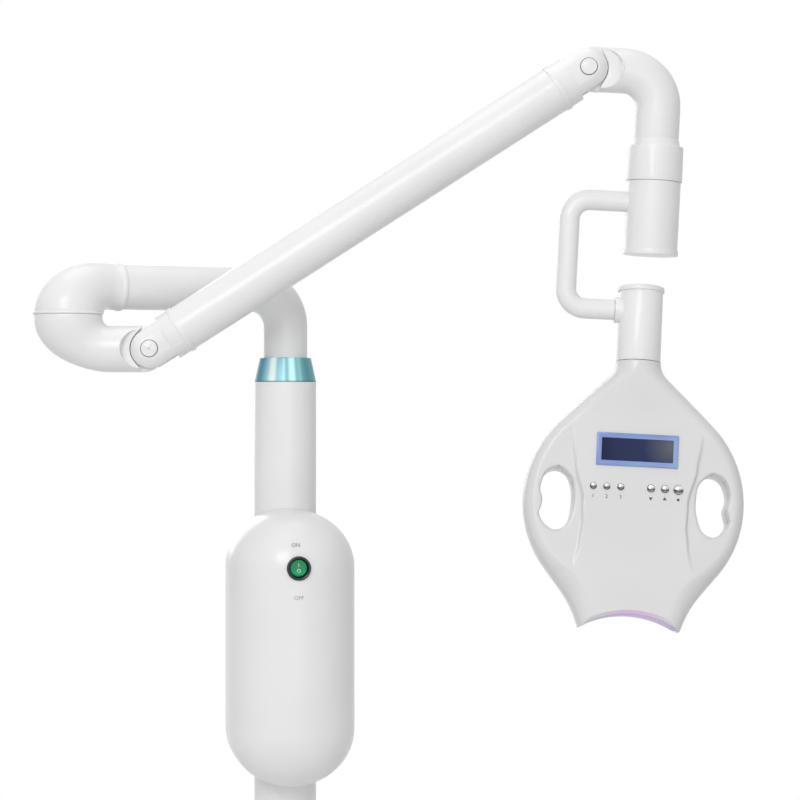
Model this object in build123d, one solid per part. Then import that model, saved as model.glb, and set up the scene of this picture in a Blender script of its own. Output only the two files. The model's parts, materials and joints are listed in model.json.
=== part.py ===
# Dental whitening lamp on a wheeled floor stand, millimetres, +Z up, front towards -Y.
# The origin lies on the floor, on the axis of the round column.
from build123d import *
import math
import os

os.makedirs("parts", exist_ok=True)

# Stand: column and star base
column_radius = 30.8
column_wall = 2.5
column_top = 1058.0
column_foot = 78.0
neck_length = 182.0
split_rise = 87.5
coupler_half_length = 60.0
coupler_wall = 2.2
star_reach = 265.0
star_bottom = 64.0
hub_radius = 76.0
hub_shoulder = 26.0
hub_neck_radius = 46.0
hub_height = 52.0
hub_rounding = 6.0
leg_root_width = 50.0
leg_root_height = 40.0
leg_tip_width = 34.0
leg_tip_height = 22.0
leg_wall = 4.0
leg_rounding = 5.0
leg_count = 5
caster_boss_radius = 15.0
caster_boss_height = 26.0
ballast_radius = 66.0
ballast_thickness = 18.0
ballast_gap = 2.0
ballast_bolt_radius = 5.0
ballast_bolt_circle = 48.0
hub_cover_height = 24.0
hub_cover_wall = 3.0

# Casters: twin wheels on a swivelling body
caster_wheel_radius = 25.0
caster_wheel_width = 15.0
caster_wheel_rounding = 4.0
caster_dish_radius = 15.0
caster_dish_depth = 3.0
caster_web = 13.0
caster_side_gap = 0.6
caster_trail = 19.0
caster_axle_radius = 4.0
caster_axle_boss = 10.0
caster_head_radius = 12.0
caster_head_height = 12.0
caster_head_gap = 1.5
caster_stem_radius = 5.5
caster_stem_length = 20.0

# Power housing: a capsule whose rear half holds the column
housing_radius = 62.0
housing_dome = 57.0
housing_wall = 3.0
housing_straight = 157.5
housing_front_centre = 50.0
housing_rear_centre = 25.0
housing_column_gap = 0.3
bracket_height = 16.0
bracket_wall = 2.8
bracket_plate = 4.0
bracket_plate_width = 70.0
bracket_margin = 24.0
supply_width = 64.0
supply_height = 110.0
supply_case = 26.0
supply_part_radius = 8.0
supply_part_height = 24.0
screw_radius = 2.0
screw_head_radius = 3.8
screw_head_height = 2.2
screw_length = 20.0
screw_boss = 5.0
screw_offset = 51.0
inlet_radius = 9.0
inlet_flange_radius = 12.0
inlet_flange = 2.5
inlet_length = 10.0
inlet_bore_radius = 6.0
inlet_pin_radius = 1.2
inlet_pin_pitch = 5.0
inlet_angle = 30.0
inlet_rise = 19.5

# Round rocker switch
switch_rise = 3.0
bezel_radius = 11.6
bezel_proud = 2.4
bezel_body_radius = 9.9
bezel_body_depth = 17.0
bezel_opening_radius = 9.2
bezel_well_depth = 11.0
rocker_radius = 8.7
rocker_pivot_depth = 5.2
rocker_half_width = 8.1
rocker_face_rise = 3.6
rocker_back_cut = 2.6
rocker_throw = 7.0
rocker_pin_radius = 1.2

# Column swivel
collar_height = 24.0
collar_top_radius = 25.6
collar_rounding = 0.8
bush_flange = 4.0
bush_flange_radius = 27.2
bush_length = 68.0
spigot_radius = 20.0
spigot_core_radius = 15.0

# Link: bent tube from the column to the folding swivel
tube_radius = 22.5
tube_wall = 2.0
elbow_radius = 22.0
link_rise = 91.5
link_reach = 229.2
link_bend = 36.0
link_end_length = 9.4
link_socket = 22.0
ring_lip = 1.1
ring_width = 4.5

# Folding swivel: two wide quarter bends stacked on one upright bolt
swivel_drop = 28.5
swivel_barrel_radius = 33.0
swivel_centre = 44.0
fore_swivel_centre = 40.0
swivel_wall = 3.0
swivel_rim_height = 4.0
swivel_washer = 1.6
washer_inset = 4.0
swivel_bolt_radius = 9.0
swivel_bolt_core = 5.5
swivel_bolt_head = 12.5
swivel_bolt_head_height = 4.0
swivel_floor = 10.0
swivel_pocket_radius = 14.0
swivel_pocket_height = 13.0
swivel_hollow_start = 14.0
swivel_half_angle = 45.0
swivel_sections = 3
upper_taper = 1.7
lower_taper = 3.0

# Fore tube and knuckles
knuckle_drop = 32.0
knuckle_reach = 79.6
tongue_half = 7.0
tongue_radius = 17.6
tongue_back = 8.0
cheek_start = 19.5
fore_ramp_start = 27.0
drop_ramp_start = 31.0
ear_inner = 8.3
ear_outer = 20.0
ear_radius = 18.5
ear_length = 19.0
fork_length = 36.5
fork_spigot = 26.0
fork_rounding = 1.6
pin_radius = 5.0
pin_cap_radius = 7.3
pin_cap_height = 1.8
pin_slot = 1.6
pin_slot_depth = 0.8
friction_disc_radius = 15.0
arm_length = 496.3

# Drop elbow, its swivel collar and the drop tube
drop_axis = 69.3
drop_bend = 34.0
drop_elbow_radius = 21.5
drop_elbow_wall = 3.0
drop_leg_end = 86.0
collar_band_top = 71.0
collar_band_bottom = 104.4
collar_band_radius = 26.4
collar_band_flare = 0.5
drop_tube_radius = 25.6
drop_tube_wall = 2.6
drop_tube_end = 175.2
drop_neck_radius = 21.8
drop_neck_gap = 0.3
drop_bush_top = 50.0
drop_bush_flange = 3.0
drop_spigot_radius = 14.0
drop_spigot_core = 10.0
drop_spigot_top = 46.0
drop_floor = 8.0
end_cap_height = 5.5
end_cap_radius = 26.4

# C-shaped handle
handle_radius = 9.8
handle_upper = 125.0
handle_lower = 229.0
handle_left = 9.6
handle_corner = 19.0
handle_entry = 5.0
journal_radius = 8.0
journal_length = 42.0

# Head stem on the handle's lower leg
head_axis = 62.8
stem_radius = 21.0
stem_wall = 2.6
stem_top = 18.0
stem_end = 50.0
stem_spigot_radius = 18.4
stem_spigot_end = 78.0
stem_cap_radius = 22.3
stem_cap_height = 5.0
stem_cap_plug = 5.0
tilt_boss_radius = 12.4
tilt_boss_reach = 4.0
tilt_boss_inner = 19.0

# Lamp head: a turned balloon outline cut to a flat slab
head_ball_radius = 104.4
head_ball_centre = 185.0
head_neck_radius = 21.5
head_shoulder_angle = 45.0
head_neck_blend = 22.0
head_waist_angle = 51.8
head_waist_flat = 26.5
head_mouth_blend = 105.0
head_mouth_turn = 24.0
head_rear_half = 22.0
head_front_half = 26.0
head_wall = 2.8
head_edge = 9.0
head_inner_edge = 6.5
dish_depth = 4.0
dish_half_length = 66.0
dish_height = 184.0
crease_depths = (92.0, 112.0, 130.0, 150.0, 187.0, 207.0, 227.0, 247.0, 282.0)
crease_halves = (67.0, 62.5, 60.0, 57.0, 49.0, 48.5, 50.5, 54.5, 63.0)
mouth_radius = 89.0
mouth_top = 291.0
mouth_bevel = 4.0
grip_offset = 73.5
grip_height = 185.5
grip_half_width = 16.0
grip_half_length = 29.5
grip_across_shares = (-0.1, 0.62, 0.93, 0.97, 0.84, 0.9, 1.0, 0.66, 0.0, -0.64, -0.96, -1.0, -0.84)
grip_along_shares = (1.0, 0.86, 0.5, 0.25, -0.03, -0.28, -0.5, -0.83, -1.0, -0.79, -0.28, 0.16, 0.66)
grip_wall = 2.6
grip_edge = 2.2
head_screw_across = (28.0, 60.0)
head_screw_depths = (92.0, 235.0)
head_screw_seat = 14.0
head_post_radius = 5.5
vent_count = 5
vent_pitch = 9.0
vent_half_width = 1.5
vent_half_length = 15.0
vent_depth = 238.0

# Head fittings
lcd_height = 137.0
lcd_frame_width = 77.0
lcd_frame_height = 31.0
lcd_window_width = 67.5
lcd_window_height = 21.3
lcd_frame_proud = 1.4
lcd_frame_body_width = 73.0
lcd_frame_body_height = 27.0
lcd_frame_depth = 7.0
lcd_glass_recess = 0.7
lcd_glass_thickness = 2.0
lcd_corner = 1.2
button_height = 172.3
button_places = (-40.0, -27.3, -14.2, 14.2, 27.3, 40.0)
button_radii = (2.9, 2.9, 2.9, 3.4, 3.4, 4.3)
button_proud = 2.2
button_dome = 1.9
button_travel = 1.0
button_foot_radius = 1.8
button_flange = 1.2
button_flange_lip = 1.6
board_half_width = 47.0
board_height = 74.0
board_thickness = 1.6
board_top = 118.0
board_post_radius = 3.0
board_post_inset = 4.0
window_depth = 5.0
window_thickness = 3.0
led_board_depth = 19.0
led_board_thickness = 2.0
led_board_margin = 4.0
led_board_half_depth = 14.0
led_radius = 4.0
led_height = 5.0
led_count = 7
led_step = 9.0
sink_thickness = 6.0
sink_fin_height = 14.0
sink_fin_thickness = 2.0
sink_fin_pitch = 7.0
sink_fin_count = 9

# Rest pose of the arm chain
link_turn = 198.25
arm_turn = -9.3
arm_rise = 32.67
drop_lean = 3.0
head_pitch = 7.5

# Shared working values
overrun = 30.0
running_gap = 0.05
body_gap = 0.3

housing_high = column_top - neck_length
housing_low = housing_high - housing_straight
column_split = housing_low + split_rise
inlet_height = housing_low + inlet_rise
switch_height = housing_high + switch_rise
link_height = column_top + link_rise
link_joint = link_reach - swivel_centre - link_end_length
swivel_height = link_height - swivel_drop
knuckle_height = swivel_height - knuckle_drop

shoulder_frame = Location((0, 0, 0), (0, 0, link_turn))
fold_x = link_reach * math.cos(math.radians(link_turn))
fold_y = link_reach * math.sin(math.radians(link_turn))
fore_frame = Location((fold_x, fold_y, 0), (0, 0, arm_turn))
arm_frame = fore_frame * Location((knuckle_reach, 0, knuckle_height), (0, -arm_rise, 0))
arm_end_x = knuckle_reach + arm_length * math.cos(math.radians(arm_rise))
arm_end_z = knuckle_height + arm_length * math.sin(math.radians(arm_rise))
drop_frame = fore_frame * Location((arm_end_x, 0, arm_end_z), (0, drop_lean, 0))
head_frame = drop_frame * Location((head_axis, 0, -handle_lower), (-head_pitch, 0, 0))


def save(name, shape):
    shape.label = name
    export_step(shape, "parts/" + name + ".step")


def rod(radius, start, end):
    # Round bar along Z between two heights
    low, high = min(start, end), max(start, end)
    return Pos(0, 0, low) * Cylinder(radius, high - low, align=(Align.CENTER, Align.CENTER, Align.MIN))


def rod_x(radius, start, end):
    # Round bar along X between two places
    return Rot(0, 90, 0) * rod(radius, start, end)


def rod_y(radius, start, end):
    # Round bar along Y between two places
    return Rot(-90, 0, 0) * rod(radius, start, end)


def tube(outer, inner, start, end):
    low, high = min(start, end), max(start, end)
    return rod(outer, low, high) - rod(inner, low - overrun, high + overrun)


def slab(x0, x1, y0, y1, z0, z1):
    # Box between two corners
    block = Box(abs(x1 - x0), abs(y1 - y0), abs(z1 - z0), align=(Align.MIN, Align.MIN, Align.MIN))
    return Pos(min(x0, x1), min(y0, y1), min(z0, z1)) * block


def turned(points):
    # Solid of revolution about Z from an outline of straight runs in the XZ plane
    with BuildSketch(Plane.XZ) as outline:
        with BuildLine():
            Polyline(*points, close=True)
        make_face()
    return revolve(outline.sketch, axis=Axis.Z)


def quarter_bend(radius, centre_line, side):
    # Quarter of a ring that starts at the origin along X and ends pointing down on the given side
    section = Plane.YZ * Circle(radius)
    return revolve(section, axis=Axis((0, 0, -centre_line), (0, side, 0)), revolution_arc=90)


# Column and base


def star_leg(inset):
    # One tapering leg along +X, drawn as a loft between its root and tip sections
    root = leg_root_width / 2 - inset
    tip = leg_tip_width / 2 - inset
    start = hub_radius / 2
    end = star_reach
    with BuildSketch(Plane((start, 0, star_bottom), x_dir=(0, 1, 0), z_dir=(1, 0, 0))) as root_face:
        with Locations((0, (leg_root_height - inset) / 2)):
            Rectangle(2 * root, leg_root_height - inset)
    with BuildSketch(Plane((end, 0, star_bottom), x_dir=(0, 1, 0), z_dir=(1, 0, 0))) as tip_face:
        with Locations((0, (leg_tip_height - inset) / 2)):
            Rectangle(2 * tip, leg_tip_height - inset)
    return loft([root_face.sketch, tip_face.sketch])


def make_star():
    hub = turned([
        (0, star_bottom),
        (hub_radius, star_bottom),
        (hub_radius, star_bottom + hub_shoulder),
        (hub_neck_radius, star_bottom + hub_height),
        (0, star_bottom + hub_height),
    ])
    hub = fillet(hub.edges().filter_by(GeomType.CIRCLE).group_by(Axis.Z)[1:], hub_rounding)
    leg = star_leg(0)
    long_edges = [e for e in leg.edges() if abs((e @ 1 - e @ 0).X) > hub_radius]
    leg = fillet(sorted(long_edges, key=lambda e: e.center().Z)[-2:], leg_rounding)
    hollow = star_leg(leg_wall)
    hollow -= rod(hub_radius, star_bottom - overrun, star_bottom + hub_height)
    boss = Pos(star_reach, 0, 0) * rod(caster_boss_radius, star_bottom, star_bottom + caster_boss_height)
    socket = Pos(star_reach, 0, 0) * rod(
        caster_stem_radius + running_gap, star_bottom - overrun, star_bottom + caster_stem_length + body_gap
    )
    star = hub
    for i in range(leg_count):
        turn = Rot(0, 0, i * 360 / leg_count - 90)
        star += turn * (leg - hollow)
        star += turn * boss
    for i in range(leg_count):
        star -= Rot(0, 0, i * 360 / leg_count - 90) * socket
    star -= rod(column_radius, column_foot, star_bottom + hub_height + overrun)
    for i in range(leg_count):
        turn = Rot(0, 0, i * 360 / leg_count - 90)
        bolt_hole = rod(ballast_bolt_radius, star_bottom - overrun, column_foot)
        star -= turn * Pos(ballast_bolt_circle, 0, 0) * bolt_hole
    return star


def make_ballast():
    top = star_bottom
    plate = rod(ballast_radius, top - ballast_thickness, top)
    plate = fillet(plate.edges().group_by(Axis.Z)[0], ballast_gap)
    for i in range(leg_count):
        turn = Rot(0, 0, i * 360 / leg_count - 90)
        plate += turn * Pos(ballast_bolt_circle, 0, 0) * rod(ballast_bolt_radius, top, column_foot)
    return plate


def make_hub_cover():
    base = star_bottom + hub_height
    inner = column_radius
    cover = turned([
        (inner, base),
        (hub_neck_radius - hub_cover_wall, base),
        (hub_neck_radius - hub_cover_wall, base + hub_cover_wall),
        (inner + hub_cover_wall, base + hub_cover_height),
        (inner, base + hub_cover_height),
    ])
    return cover


def make_column(low, high):
    return tube(column_radius, column_radius - column_wall, low, high)


def make_coupler():
    outer = column_radius - column_wall
    low = column_split - coupler_half_length
    high = column_split + coupler_half_length
    return tube(outer, outer - coupler_wall, low, high)


# Casters


def make_caster_wheels():
    half = caster_web / 2 + caster_side_gap
    wheel = rod_y(caster_wheel_radius, half, half + caster_wheel_width)
    wheel = fillet(wheel.edges().filter_by(GeomType.CIRCLE), caster_wheel_rounding)
    face = half + caster_wheel_width
    wheel -= rod_y(caster_dish_radius, face - caster_dish_depth, face + overrun)
    pair = wheel + mirror(wheel, Plane.XZ)
    pair += rod_y(caster_axle_radius, -half - caster_wheel_width / 2, half + caster_wheel_width / 2)
    return Pos(caster_trail, 0, caster_wheel_radius) * pair


def make_caster_body():
    head_top = star_bottom - caster_head_gap
    head = rod(caster_head_radius, head_top - caster_head_height, head_top)
    head += rod(caster_stem_radius, head_top, star_bottom + caster_stem_length)
    half = caster_web / 2
    boss = Pos(caster_trail, 0, caster_wheel_radius) * rod_y(caster_axle_boss, -half, half)
    with BuildSketch(Plane.XZ) as side:
        with BuildLine():
            Polyline(
                (-half, head_top - caster_head_height / 2),
                (-half, head_top - caster_head_height),
                (caster_trail - caster_axle_boss, caster_wheel_radius),
                (caster_trail + caster_axle_boss, caster_wheel_radius),
                (caster_head_radius + half, head_top - caster_head_height / 2),
                close=True,
            )
        make_face()
    web = extrude(side.sketch, amount=half, both=True)
    body = head + boss + web
    return body - Pos(caster_trail, 0, caster_wheel_radius) * rod_y(
        caster_axle_radius + running_gap, -overrun, overrun
    )


# Power housing


def capsule(inset):
    # Full capsule: domed ends, front and rear half-rounds joined by a flat-sided middle
    radius = housing_radius - inset
    dome = housing_dome - inset
    with BuildSketch(Plane.XZ) as half_outline:
        with BuildLine():
            Line((0, housing_low - dome), (0, housing_high + dome))
            EllipticalCenterArc((0, housing_high), radius, dome, start_angle=0, arc_size=90)
            Line((radius, housing_high), (radius, housing_low))
            EllipticalCenterArc((0, housing_low), radius, dome, start_angle=270, arc_size=90)
        make_face()
    half = half_outline.sketch
    whole = half + mirror(half, Plane.YZ)
    span = housing_front_centre - housing_rear_centre
    round_end = revolve(half, axis=Axis.Z)
    middle = extrude(whole, amount=span, dir=(0, -1, 0))
    rear = Pos(0, -housing_rear_centre, 0) * (round_end + middle)
    return rear + Pos(0, -housing_front_centre, 0) * round_end


def make_housing():
    outer = capsule(0)
    shell = outer - capsule(housing_wall)
    passage = column_radius + housing_column_gap
    shell -= rod(passage, housing_low - 2 * housing_dome, housing_high + 2 * housing_dome)
    face_y = -housing_front_centre - housing_radius
    seat = Pos(0, 0, switch_height) * rod_y(bezel_radius + body_gap, face_y - overrun, face_y + bezel_seat())
    hole = Pos(0, 0, switch_height) * rod_y(bezel_body_radius, face_y - overrun, face_y + overrun)
    shell = shell - seat - hole
    shell -= inlet_place() * rod(inlet_radius, -overrun, overrun)
    cut_y = -housing_rear_centre
    for x, z in screw_places():
        side = math.copysign(1, x)
        inner = x - side * screw_boss
        outside = x + side * overrun
        boss = slab(inner, outside, cut_y - screw_length / 2, overrun, z - screw_boss, z + screw_boss)
        shell += boss & outer
        shell -= Pos(x, 0, z) * rod_y(screw_radius, cut_y - screw_length / 2, cut_y + screw_length / 2)
        shell -= Pos(x, 0, z) * rod_y(screw_head_radius + body_gap, cut_y + screw_length / 2, overrun)
    big = 2 * housing_radius
    low = housing_low - big
    high = housing_high + big
    front = shell - slab(-big, big, cut_y, cut_y + 2 * big, low, high)
    rear = shell - slab(-big, big, cut_y - 2 * big, cut_y, low, high)
    return front, rear


def bezel_seat():
    # Depth of the flat that lets the bezel sit on the round front
    return housing_radius - math.sqrt(housing_radius ** 2 - bezel_radius ** 2)


def inlet_place():
    # Frame on the rear wall: Z out of the wall
    angle = math.radians(inlet_angle)
    reach = housing_radius - housing_wall
    point = (reach * math.cos(angle), reach * math.sin(angle) - housing_rear_centre, inlet_height)
    return Location(Plane(origin=point, z_dir=(math.cos(angle), math.sin(angle), 0)))


def make_inlet():
    seat = housing_wall
    body = rod(inlet_radius, seat - inlet_length, seat)
    body += rod(inlet_flange_radius, seat, seat + inlet_flange)
    body -= rod(inlet_bore_radius, -inlet_flange, seat + 2 * inlet_flange)
    for side in (-1, 1):
        body += Pos(0, side * inlet_pin_pitch / 2, 0) * rod(inlet_pin_radius, -inlet_flange, seat)
    return inlet_place() * body


def make_bracket():
    ring_outer = column_radius + bracket_wall
    ring_low = housing_low
    ring_high = housing_high - bracket_height
    plate_y = -ring_outer
    half = bracket_plate_width / 2
    bracket = slab(-half, half, plate_y - bracket_plate, plate_y, ring_low, ring_high)
    web = column_radius / 2
    for z in (ring_low, ring_high - bracket_height):
        bracket += rod(ring_outer, z, z + bracket_height)
        bracket += slab(-web, web, plate_y, -column_radius, z, z + bracket_height)
    return bracket - rod(column_radius, ring_low - overrun, ring_high + overrun)


def make_supply():
    back = -column_radius - bracket_wall - bracket_plate
    low = housing_low + bracket_margin
    case = slab(-supply_width / 2, supply_width / 2, back - supply_case, back, low, low + supply_height)
    part = rod_y(supply_part_radius, back - supply_case - supply_part_height / 2, back - supply_case)
    for share in (0.25, 0.5, 0.75):
        case += Pos(0, 0, low + supply_height * share) * part
    return case


def screw_places():
    return [(side * screw_offset, z) for z in (housing_low, housing_high) for side in (-1, 1)]


def make_housing_screws():
    group = []
    seat = -housing_rear_centre + screw_length / 2
    for x, z in screw_places():
        shaft = rod_y(screw_radius, seat - screw_length, seat)
        head = rod_y(screw_head_radius, seat, seat + screw_head_height)
        group.append(Pos(x, 0, z) * (shaft + head))
    return Compound(children=group)


# Rocker switch


def switch_plane():
    return Location((0, -housing_front_centre - housing_radius, switch_height))


def make_bezel():
    seat = bezel_seat()
    body = rod_y(bezel_radius, -bezel_proud, seat)
    body = fillet(body.edges().filter_by(GeomType.CIRCLE).group_by(Axis.Y)[0], bezel_proud / 2)
    body += rod_y(bezel_body_radius, seat, bezel_body_depth)
    body -= rod_y(bezel_opening_radius, -2 * bezel_proud, bezel_well_depth)
    pivot = Pos(0, rocker_pivot_depth, 0) * rod_x(
        rocker_pin_radius + running_gap, -bezel_opening_radius - body_gap, bezel_opening_radius + body_gap
    )
    return switch_plane() * (body - pivot)


def make_rocker():
    # Ball-shaped key with a shallow two-plane face, top half pressed in at rest
    ball = Sphere(rocker_radius)
    ball &= slab(-rocker_half_width, rocker_half_width, -overrun, rocker_back_cut, -overrun, overrun)
    front = slab(-overrun, overrun, -2 * overrun, -rocker_face_rise, -overrun, overrun)
    for side in (-1, 1):
        half = slab(-overrun, overrun, -2 * overrun, 0, 0, side * overrun)
        ball -= Rot(side * rocker_throw, 0, 0) * front & half
    pin = rod_x(rocker_pin_radius, -bezel_opening_radius, bezel_opening_radius)
    return switch_plane() * Pos(0, rocker_pivot_depth, 0) * Rot(-rocker_throw, 0, 0) * (ball + pin)


# Column swivel


def make_bush():
    inner = spigot_radius + running_gap
    body = rod(column_radius - column_wall, column_top - bush_length, column_top)
    body += rod(bush_flange_radius, column_top, column_top + bush_flange)
    return body - rod(inner, column_top - 2 * bush_length, column_top + 2 * bush_flange)


def make_collar():
    seat = column_top + bush_flange
    top = column_top + collar_height
    bore = elbow_radius + body_gap
    collar = turned([
        (bush_flange_radius, column_top),
        (column_radius, column_top),
        (collar_top_radius, top),
        (bore, top),
        (bore, seat),
        (bush_flange_radius, seat),
    ])
    top_edges = collar.edges().filter_by(GeomType.CIRCLE).group_by(Axis.Z)[-1]
    return fillet(top_edges.sort_by(SortBy.RADIUS)[-1], collar_rounding)


def make_spigot():
    seat = column_top + bush_flange
    body = rod(spigot_radius, column_top - bush_length, seat)
    body += rod(elbow_radius - tube_wall, seat, seat + collar_height)
    return body - rod(spigot_core_radius, column_top - 2 * bush_length, seat + 2 * collar_height)


def make_link_tube():
    seat = column_top + bush_flange
    bend_low = link_height - link_bend

    def solid(radius, low, end):
        upright = rod(radius, low, bend_low)
        corner = Pos(link_bend, 0, link_height) * quarter_bend(radius, link_bend, -1)
        level = Pos(0, 0, link_height) * rod_x(radius, link_bend, end)
        return upright + corner + level

    bore = solid(elbow_radius - tube_wall, seat - overrun, link_joint + overrun)
    return solid(elbow_radius, seat, link_joint) - bore


# Folding swivel


def swivel_loft(rise, centre, reach, flare, taper, start_angle, end_angle):
    # Loft of circles that turn about the inner corner
    sections = []
    for i in range(swivel_sections):
        angle = math.radians(start_angle + (end_angle - start_angle) * i / (swivel_sections - 1))
        share = abs(math.cos(angle)) ** taper
        distance = rise + (centre - rise) * share
        radius = reach + (flare - reach) * share
        origin = (-distance * math.cos(angle), 0, distance * math.sin(angle))
        plane = Plane(origin=origin, x_dir=(0, 1, 0), z_dir=(math.sin(angle), 0, math.cos(angle)))
        sections.append(plane * Circle(radius))
    return loft(sections)


def swivel_horn(rise, centre, reach, flare, taper, start_angle):
    # From the wide barrel to the level tube in two halves
    half = swivel_loft(rise, centre, reach, flare, taper, start_angle, swivel_half_angle)
    return half + swivel_loft(rise, centre, reach, flare, taper, swivel_half_angle, 90)


def make_swivel_elbow(rise, centre, socket_end, taper):
    # Built with the inner corner at the origin, the barrel axis at minus centre, opening upwards and to +X
    bore = tube_radius - swivel_wall
    outer = swivel_horn(rise, centre, tube_radius, swivel_barrel_radius, taper, 0)
    inner_flare = swivel_barrel_radius - swivel_wall
    inner = swivel_horn(rise, centre, bore, inner_flare, taper, swivel_hollow_start)
    seat = swivel_washer / 2
    rim = Pos(-centre, 0, 0) * rod(swivel_barrel_radius + ring_lip, seat, swivel_rim_height)
    far = centre + 2 * swivel_barrel_radius
    foot = slab(-far, overrun, -2 * tube_radius, 2 * tube_radius, -overrun, seat)
    body = outer + Pos(0, 0, rise) * rod_x(tube_radius, 0, socket_end)
    hollow = inner + Pos(0, 0, rise) * rod_x(bore, 0, socket_end + overrun)
    pocket_top = swivel_floor + swivel_pocket_height
    pocket = Pos(-centre, 0, 0) * rod(swivel_pocket_radius, swivel_floor, pocket_top)
    return body + rim - foot - hollow - pocket


def make_upper_swivel():
    rise = link_height - swivel_height
    length = link_end_length
    elbow = make_swivel_elbow(rise, swivel_centre, length, upper_taper)
    end = rod_x(tube_radius + ring_lip, length - ring_width, length)
    end += rod_x(elbow_radius - tube_wall, length, length + link_socket)
    end -= rod_x(spigot_core_radius, -overrun, length + 2 * link_socket)
    elbow += Pos(0, 0, rise) * end
    elbow -= Pos(-swivel_centre, 0, 0) * rod(swivel_bolt_radius + running_gap, -overrun, overrun)
    place = Pos(link_reach - swivel_centre, 0, swivel_height) * Rot(0, 0, 180)
    return shoulder_frame * place * elbow


def make_lower_swivel():
    rise = swivel_height - knuckle_height
    pivot_x = knuckle_reach - fore_swivel_centre
    length = pivot_x - fore_ramp_start
    elbow = make_swivel_elbow(rise, fore_swivel_centre, length, lower_taper)
    elbow -= Pos(-fore_swivel_centre, 0, 0) * rod(swivel_bolt_radius, -overrun, overrun)
    elbow += Pos(pivot_x, 0, rise) * knuckle(tube_radius, fore_ramp_start)
    elbow -= Pos(pivot_x, 0, rise) * rod_y(pin_radius + running_gap, -overrun, overrun)
    place = Pos(fore_swivel_centre, 0, swivel_height) * Rot(180, 0, 0)
    return fore_frame * place * elbow


def make_swivel_washer():
    half = swivel_washer / 2
    ring = tube(swivel_barrel_radius - washer_inset, swivel_bolt_radius, -half, half)
    return fore_frame * Pos(0, 0, swivel_height) * ring


def make_swivel_bolt():
    bolt = rod(swivel_bolt_radius, -swivel_floor, swivel_floor)
    bolt += rod(swivel_bolt_head, swivel_floor, swivel_floor + swivel_bolt_head_height)
    bolt += rod(swivel_bolt_head, -swivel_floor - swivel_bolt_head_height, -swivel_floor)
    bolt -= rod(swivel_bolt_core, -2 * swivel_floor, 2 * swivel_floor)
    return fore_frame * Pos(0, 0, swivel_height) * bolt


# Knuckles and arm


def knuckle(radius, ramp_start):
    # Tube end cut flat on both cheeks down to a tongue, pivot at the origin and the tube on -X
    body = rod_x(radius, -ramp_start, -tongue_back)
    with BuildSketch(Plane.XY) as face:
        with BuildLine():
            Polyline(
                (-ramp_start, -radius),
                (-cheek_start, -tongue_half),
                (0, -tongue_half),
                (0, -2 * radius),
                (-ramp_start, -2 * radius),
                close=True,
            )
        make_face()
    cheek = extrude(face.sketch, amount=radius, both=True)
    body = body - cheek - mirror(cheek, Plane.XZ)
    tongue = rod_y(tongue_radius, -tongue_half, tongue_half)
    tongue += slab(-cheek_start, 0, -tongue_half, tongue_half, -tongue_radius, tongue_radius)
    return body + tongue


def make_fork():
    # Two ears round the pivot at the origin, a round body along +X and a spigot for the arm tube
    body = rod_x(tube_radius, ear_length, fork_length)
    body += rod_x(tube_radius + ring_lip, fork_length - ring_width, fork_length)
    body += rod_x(tube_radius - tube_wall, fork_length, fork_length + fork_spigot)
    envelope = rod_x(tube_radius, 0, fork_length) + Sphere(tube_radius)
    ears = rod_y(ear_radius, -ear_outer, ear_outer)
    ears += slab(0, ear_length + fork_rounding, -ear_outer, ear_outer, -ear_radius, ear_radius)
    ears &= envelope
    fork = ears + body
    fork -= slab(-overrun, ear_length, -ear_inner, ear_inner, -overrun, overrun)
    fork -= rod_y(pin_radius, -overrun, overrun)
    bore = tube_radius - 2 * tube_wall - swivel_wall
    return fork - rod_x(bore, ear_length + ring_width, fork_length + 2 * fork_spigot)


def make_pin():
    pin = rod_y(pin_radius, -ear_outer, ear_outer)
    for side in (-1, 1):
        cap = rod_y(pin_cap_radius, side * ear_outer, side * (ear_outer + pin_cap_height))
        pin += cap
    return pin


def pin_cross():
    # Cross recess in the front cap
    depth = -ear_outer - pin_cap_height
    reach = pin_cap_radius / 2
    half = pin_slot / 2
    cross = slab(-reach, reach, depth - overrun, depth + pin_slot_depth, -half, half)
    return cross + Rot(0, 90, 0) * cross


def friction_discs():
    discs = []
    for side in (-1, 1):
        disc = rod_y(friction_disc_radius, side * (tongue_half + running_gap), side * ear_inner)
        discs.append(disc - rod_y(pin_radius, -overrun, overrun))
    return discs


arm_finish = Pos(arm_length, 0, 0) * Rot(0, 0, 180)


def make_arm_tube():
    length = rod_x(tube_radius, fork_length, arm_length - fork_length)
    return length - rod_x(tube_radius - tube_wall, 0, arm_length)


# Drop elbow and drop tube


def make_drop_elbow():
    def solid(radius, start, low):
        level = rod_x(radius, start, drop_axis - drop_bend)
        corner = Pos(drop_axis - drop_bend, 0, 0) * quarter_bend(radius, drop_bend, 1)
        upright = Pos(drop_axis, 0, 0) * rod(radius, -low, -drop_bend)
        return level + corner + upright

    bore = drop_elbow_radius - drop_elbow_wall
    outer = solid(drop_elbow_radius, drop_ramp_start, drop_leg_end)
    inner = solid(bore, drop_axis - drop_bend - drop_elbow_wall, drop_leg_end + overrun)
    elbow = outer + Rot(0, 0, 180) * knuckle(drop_elbow_radius, drop_ramp_start) - inner
    return elbow - rod_y(pin_radius + running_gap, -overrun, overrun)


def make_drop_collar():
    flare = collar_band_radius + collar_band_flare
    band = turned([
        (drop_elbow_radius, -collar_band_top),
        (collar_band_radius, -collar_band_top),
        (flare, -collar_band_bottom),
        (drop_neck_radius + body_gap, -collar_band_bottom),
        (drop_neck_radius + body_gap, -drop_leg_end),
        (drop_elbow_radius, -drop_leg_end),
    ])
    band = fillet(band.edges().group_by(Axis.Z)[-1].sort_by(SortBy.RADIUS)[-1], collar_rounding)
    return Pos(drop_axis, 0, 0) * band


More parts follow.
